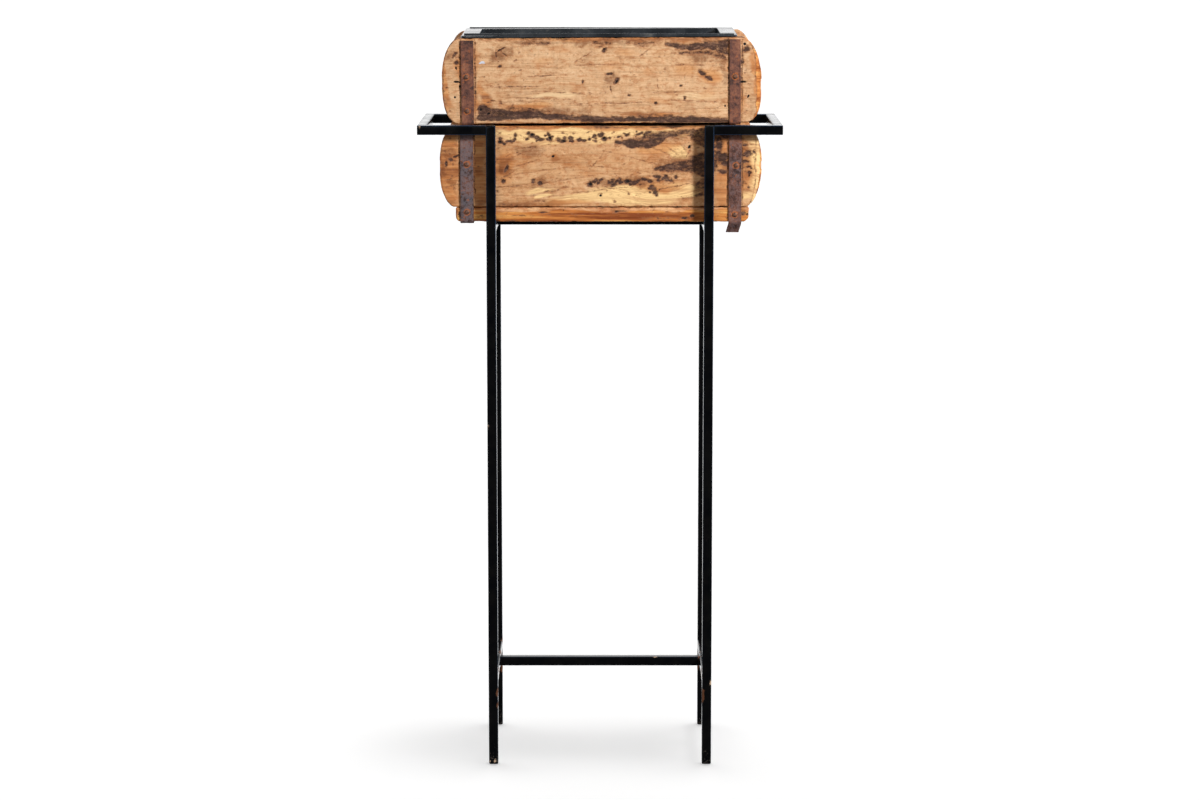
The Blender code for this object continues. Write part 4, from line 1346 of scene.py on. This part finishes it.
def add_hems(material):
    """The hem along the rim's front and back, which turns down over the top edges of the boards."""
    low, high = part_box("liner_tray")
    for side, y_low, drop in (("front", low.y, 0.05 * MM), ("back", high.y - HEM_THICKNESS, 0.40 * MM)):
        top = high.z - drop
        hem_low = (low.x + HEM_INSET, y_low, top - HEM_HEIGHT)
        hem_high = (high.x - HEM_INSET, y_low + HEM_THICKNESS, top)
        hem = Slab(f"liner_hem_{side}", "xzy", hem_low, hem_high, HEM_STEP, HEM_ROUND, counts=(3, 2))
        hem.sink += MM * 0.08 * fractal(hem.u / MM * 0.05, hem.v / MM, 95, 2)
        finish_piece(hem.build(material), "liner", "liner_paint")


# ---------------------------------------------------------------- floor, light and camera


def build_floor():
    """A pale floor that glows a little, so it photographs as white paper and keeps only a soft shadow."""
    mesh = bpy.data.meshes.new("studio_floor")
    bm = bmesh.new()
    bmesh.ops.create_grid(bm, x_segments=8, y_segments=8, size=30.0)
    bm.to_mesh(mesh)
    bm.free()
    m = Nodes("studio_floor")
    soft = m.noise(m.place, 1.5, 2.0)
    base = m.ramp(soft, (0.3, (0.80, 0.80, 0.80)), (0.7, (0.82, 0.82, 0.82)))
    m.surface(Base_Color=base, Roughness=0.9, Specular_IOR_Level=0.0)
    m.surface(Emission_Color=WHITE, Emission_Strength=FLOOR_GLOW)
    floor = add_object("studio_floor", mesh, m.owner)
    floor.visible_diffuse = False
    floor.visible_glossy = False
    floor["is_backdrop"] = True
    return floor


def build_world():
    """A white studio: bright behind, dim in front, and white wherever it is seen."""
    world = bpy.data.worlds.new("studio")
    bpy.context.scene.world = world
    m = Nodes(world, "Generated")
    depth = m.split(m.place)[1]
    unseen = m.between(depth, -0.05, 0.75, WORLD_FRONT, WORLD_BEHIND)
    seen = m.add("LightPath", "Is Camera Ray", {})
    strength = m.add("Mix", 0, {"Factor": seen, 2: unseen, 3: 1.0}, data_type="FLOAT")
    m.surface("Background", Strength=strength, Color=WHITE)


def area_light(name, power, colour, target, azimuth, elevation, distance, size):
    """A soft round lamp aimed at the target. Azimuth 0 is straight in front, 90 to the right."""
    a = math.radians(azimuth)
    e = math.radians(elevation)
    away = Vector((math.sin(a) * math.cos(e), -math.cos(a) * math.cos(e), math.sin(e)))
    light = bpy.data.lights.new(name, "AREA")
    light.shape = "DISK"
    light.size = size
    light.energy = power
    light.color = colour
    obj = linked(name, light)
    obj.location = target + away * distance
    obj.rotation_mode = "QUATERNION"
    obj.rotation_quaternion = (-away).to_track_quat("-Z", "Y")
    return obj


def build_lights(floor):
    """A small warm key from the right, weak fills, and a broad lamp overhead for the floor's soft shadow."""
    target = Vector((0, 0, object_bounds()[1].z * 0.86))
    key = area_light("key", KEY_POWER, KEY_COLOUR, target, azimuth=43, elevation=22, distance=3.2, size=0.62)
    fill = area_light(
        "fill", FILL_POWER, FILL_COLOUR, target, azimuth=-22, elevation=14, distance=3.6, size=2.2,
    )
    overhead = bpy.data.lights.new("overhead", "SUN")
    overhead.energy = OVERHEAD_POWER
    overhead.angle = math.radians(OVERHEAD_SPREAD)
    linked("overhead", overhead).rotation_euler = (0, math.radians(OVERHEAD_TILT), 0)
    side = area_light(
        "side", SIDE_POWER, SIDE_COLOUR, target, azimuth=96, elevation=12, distance=2.6, size=0.9,
    )
    all_but_floor = bpy.data.collections.new("lit_by_the_key")
    all_but_floor.objects.link(floor)
    all_but_floor.collection_objects[0].light_linking.link_state = "EXCLUDE"
    for light in (key, fill, side):
        light.light_linking.receiver_collection = all_but_floor


def build_camera():
    """Where the photograph was taken from: 3.5 m in front, a little above the top."""
    data = bpy.data.cameras.new("camera")
    data.sensor_width = 36.0
    data.lens = CAMERA_LENS
    data.clip_end = 100.0
    camera = linked("camera", data)
    camera.location = (0.0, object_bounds()[0].y - CAMERA_DISTANCE, CAMERA_HEIGHT)
    camera.rotation_euler = (math.radians(90 - CAMERA_PITCH), 0, 0)
    bpy.context.scene.camera = camera


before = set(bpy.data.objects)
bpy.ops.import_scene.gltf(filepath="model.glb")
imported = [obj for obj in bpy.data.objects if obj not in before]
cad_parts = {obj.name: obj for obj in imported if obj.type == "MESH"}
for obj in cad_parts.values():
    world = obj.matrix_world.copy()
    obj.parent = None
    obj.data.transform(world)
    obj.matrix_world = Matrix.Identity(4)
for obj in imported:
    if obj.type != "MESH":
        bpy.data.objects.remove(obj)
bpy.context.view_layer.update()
bpy.context.scene.view_settings.view_transform = "Standard"
build_camera()
build_boards()
build_straps_and_nails()
build_stand()
build_liner()
build_world()
build_lights(build_floor())
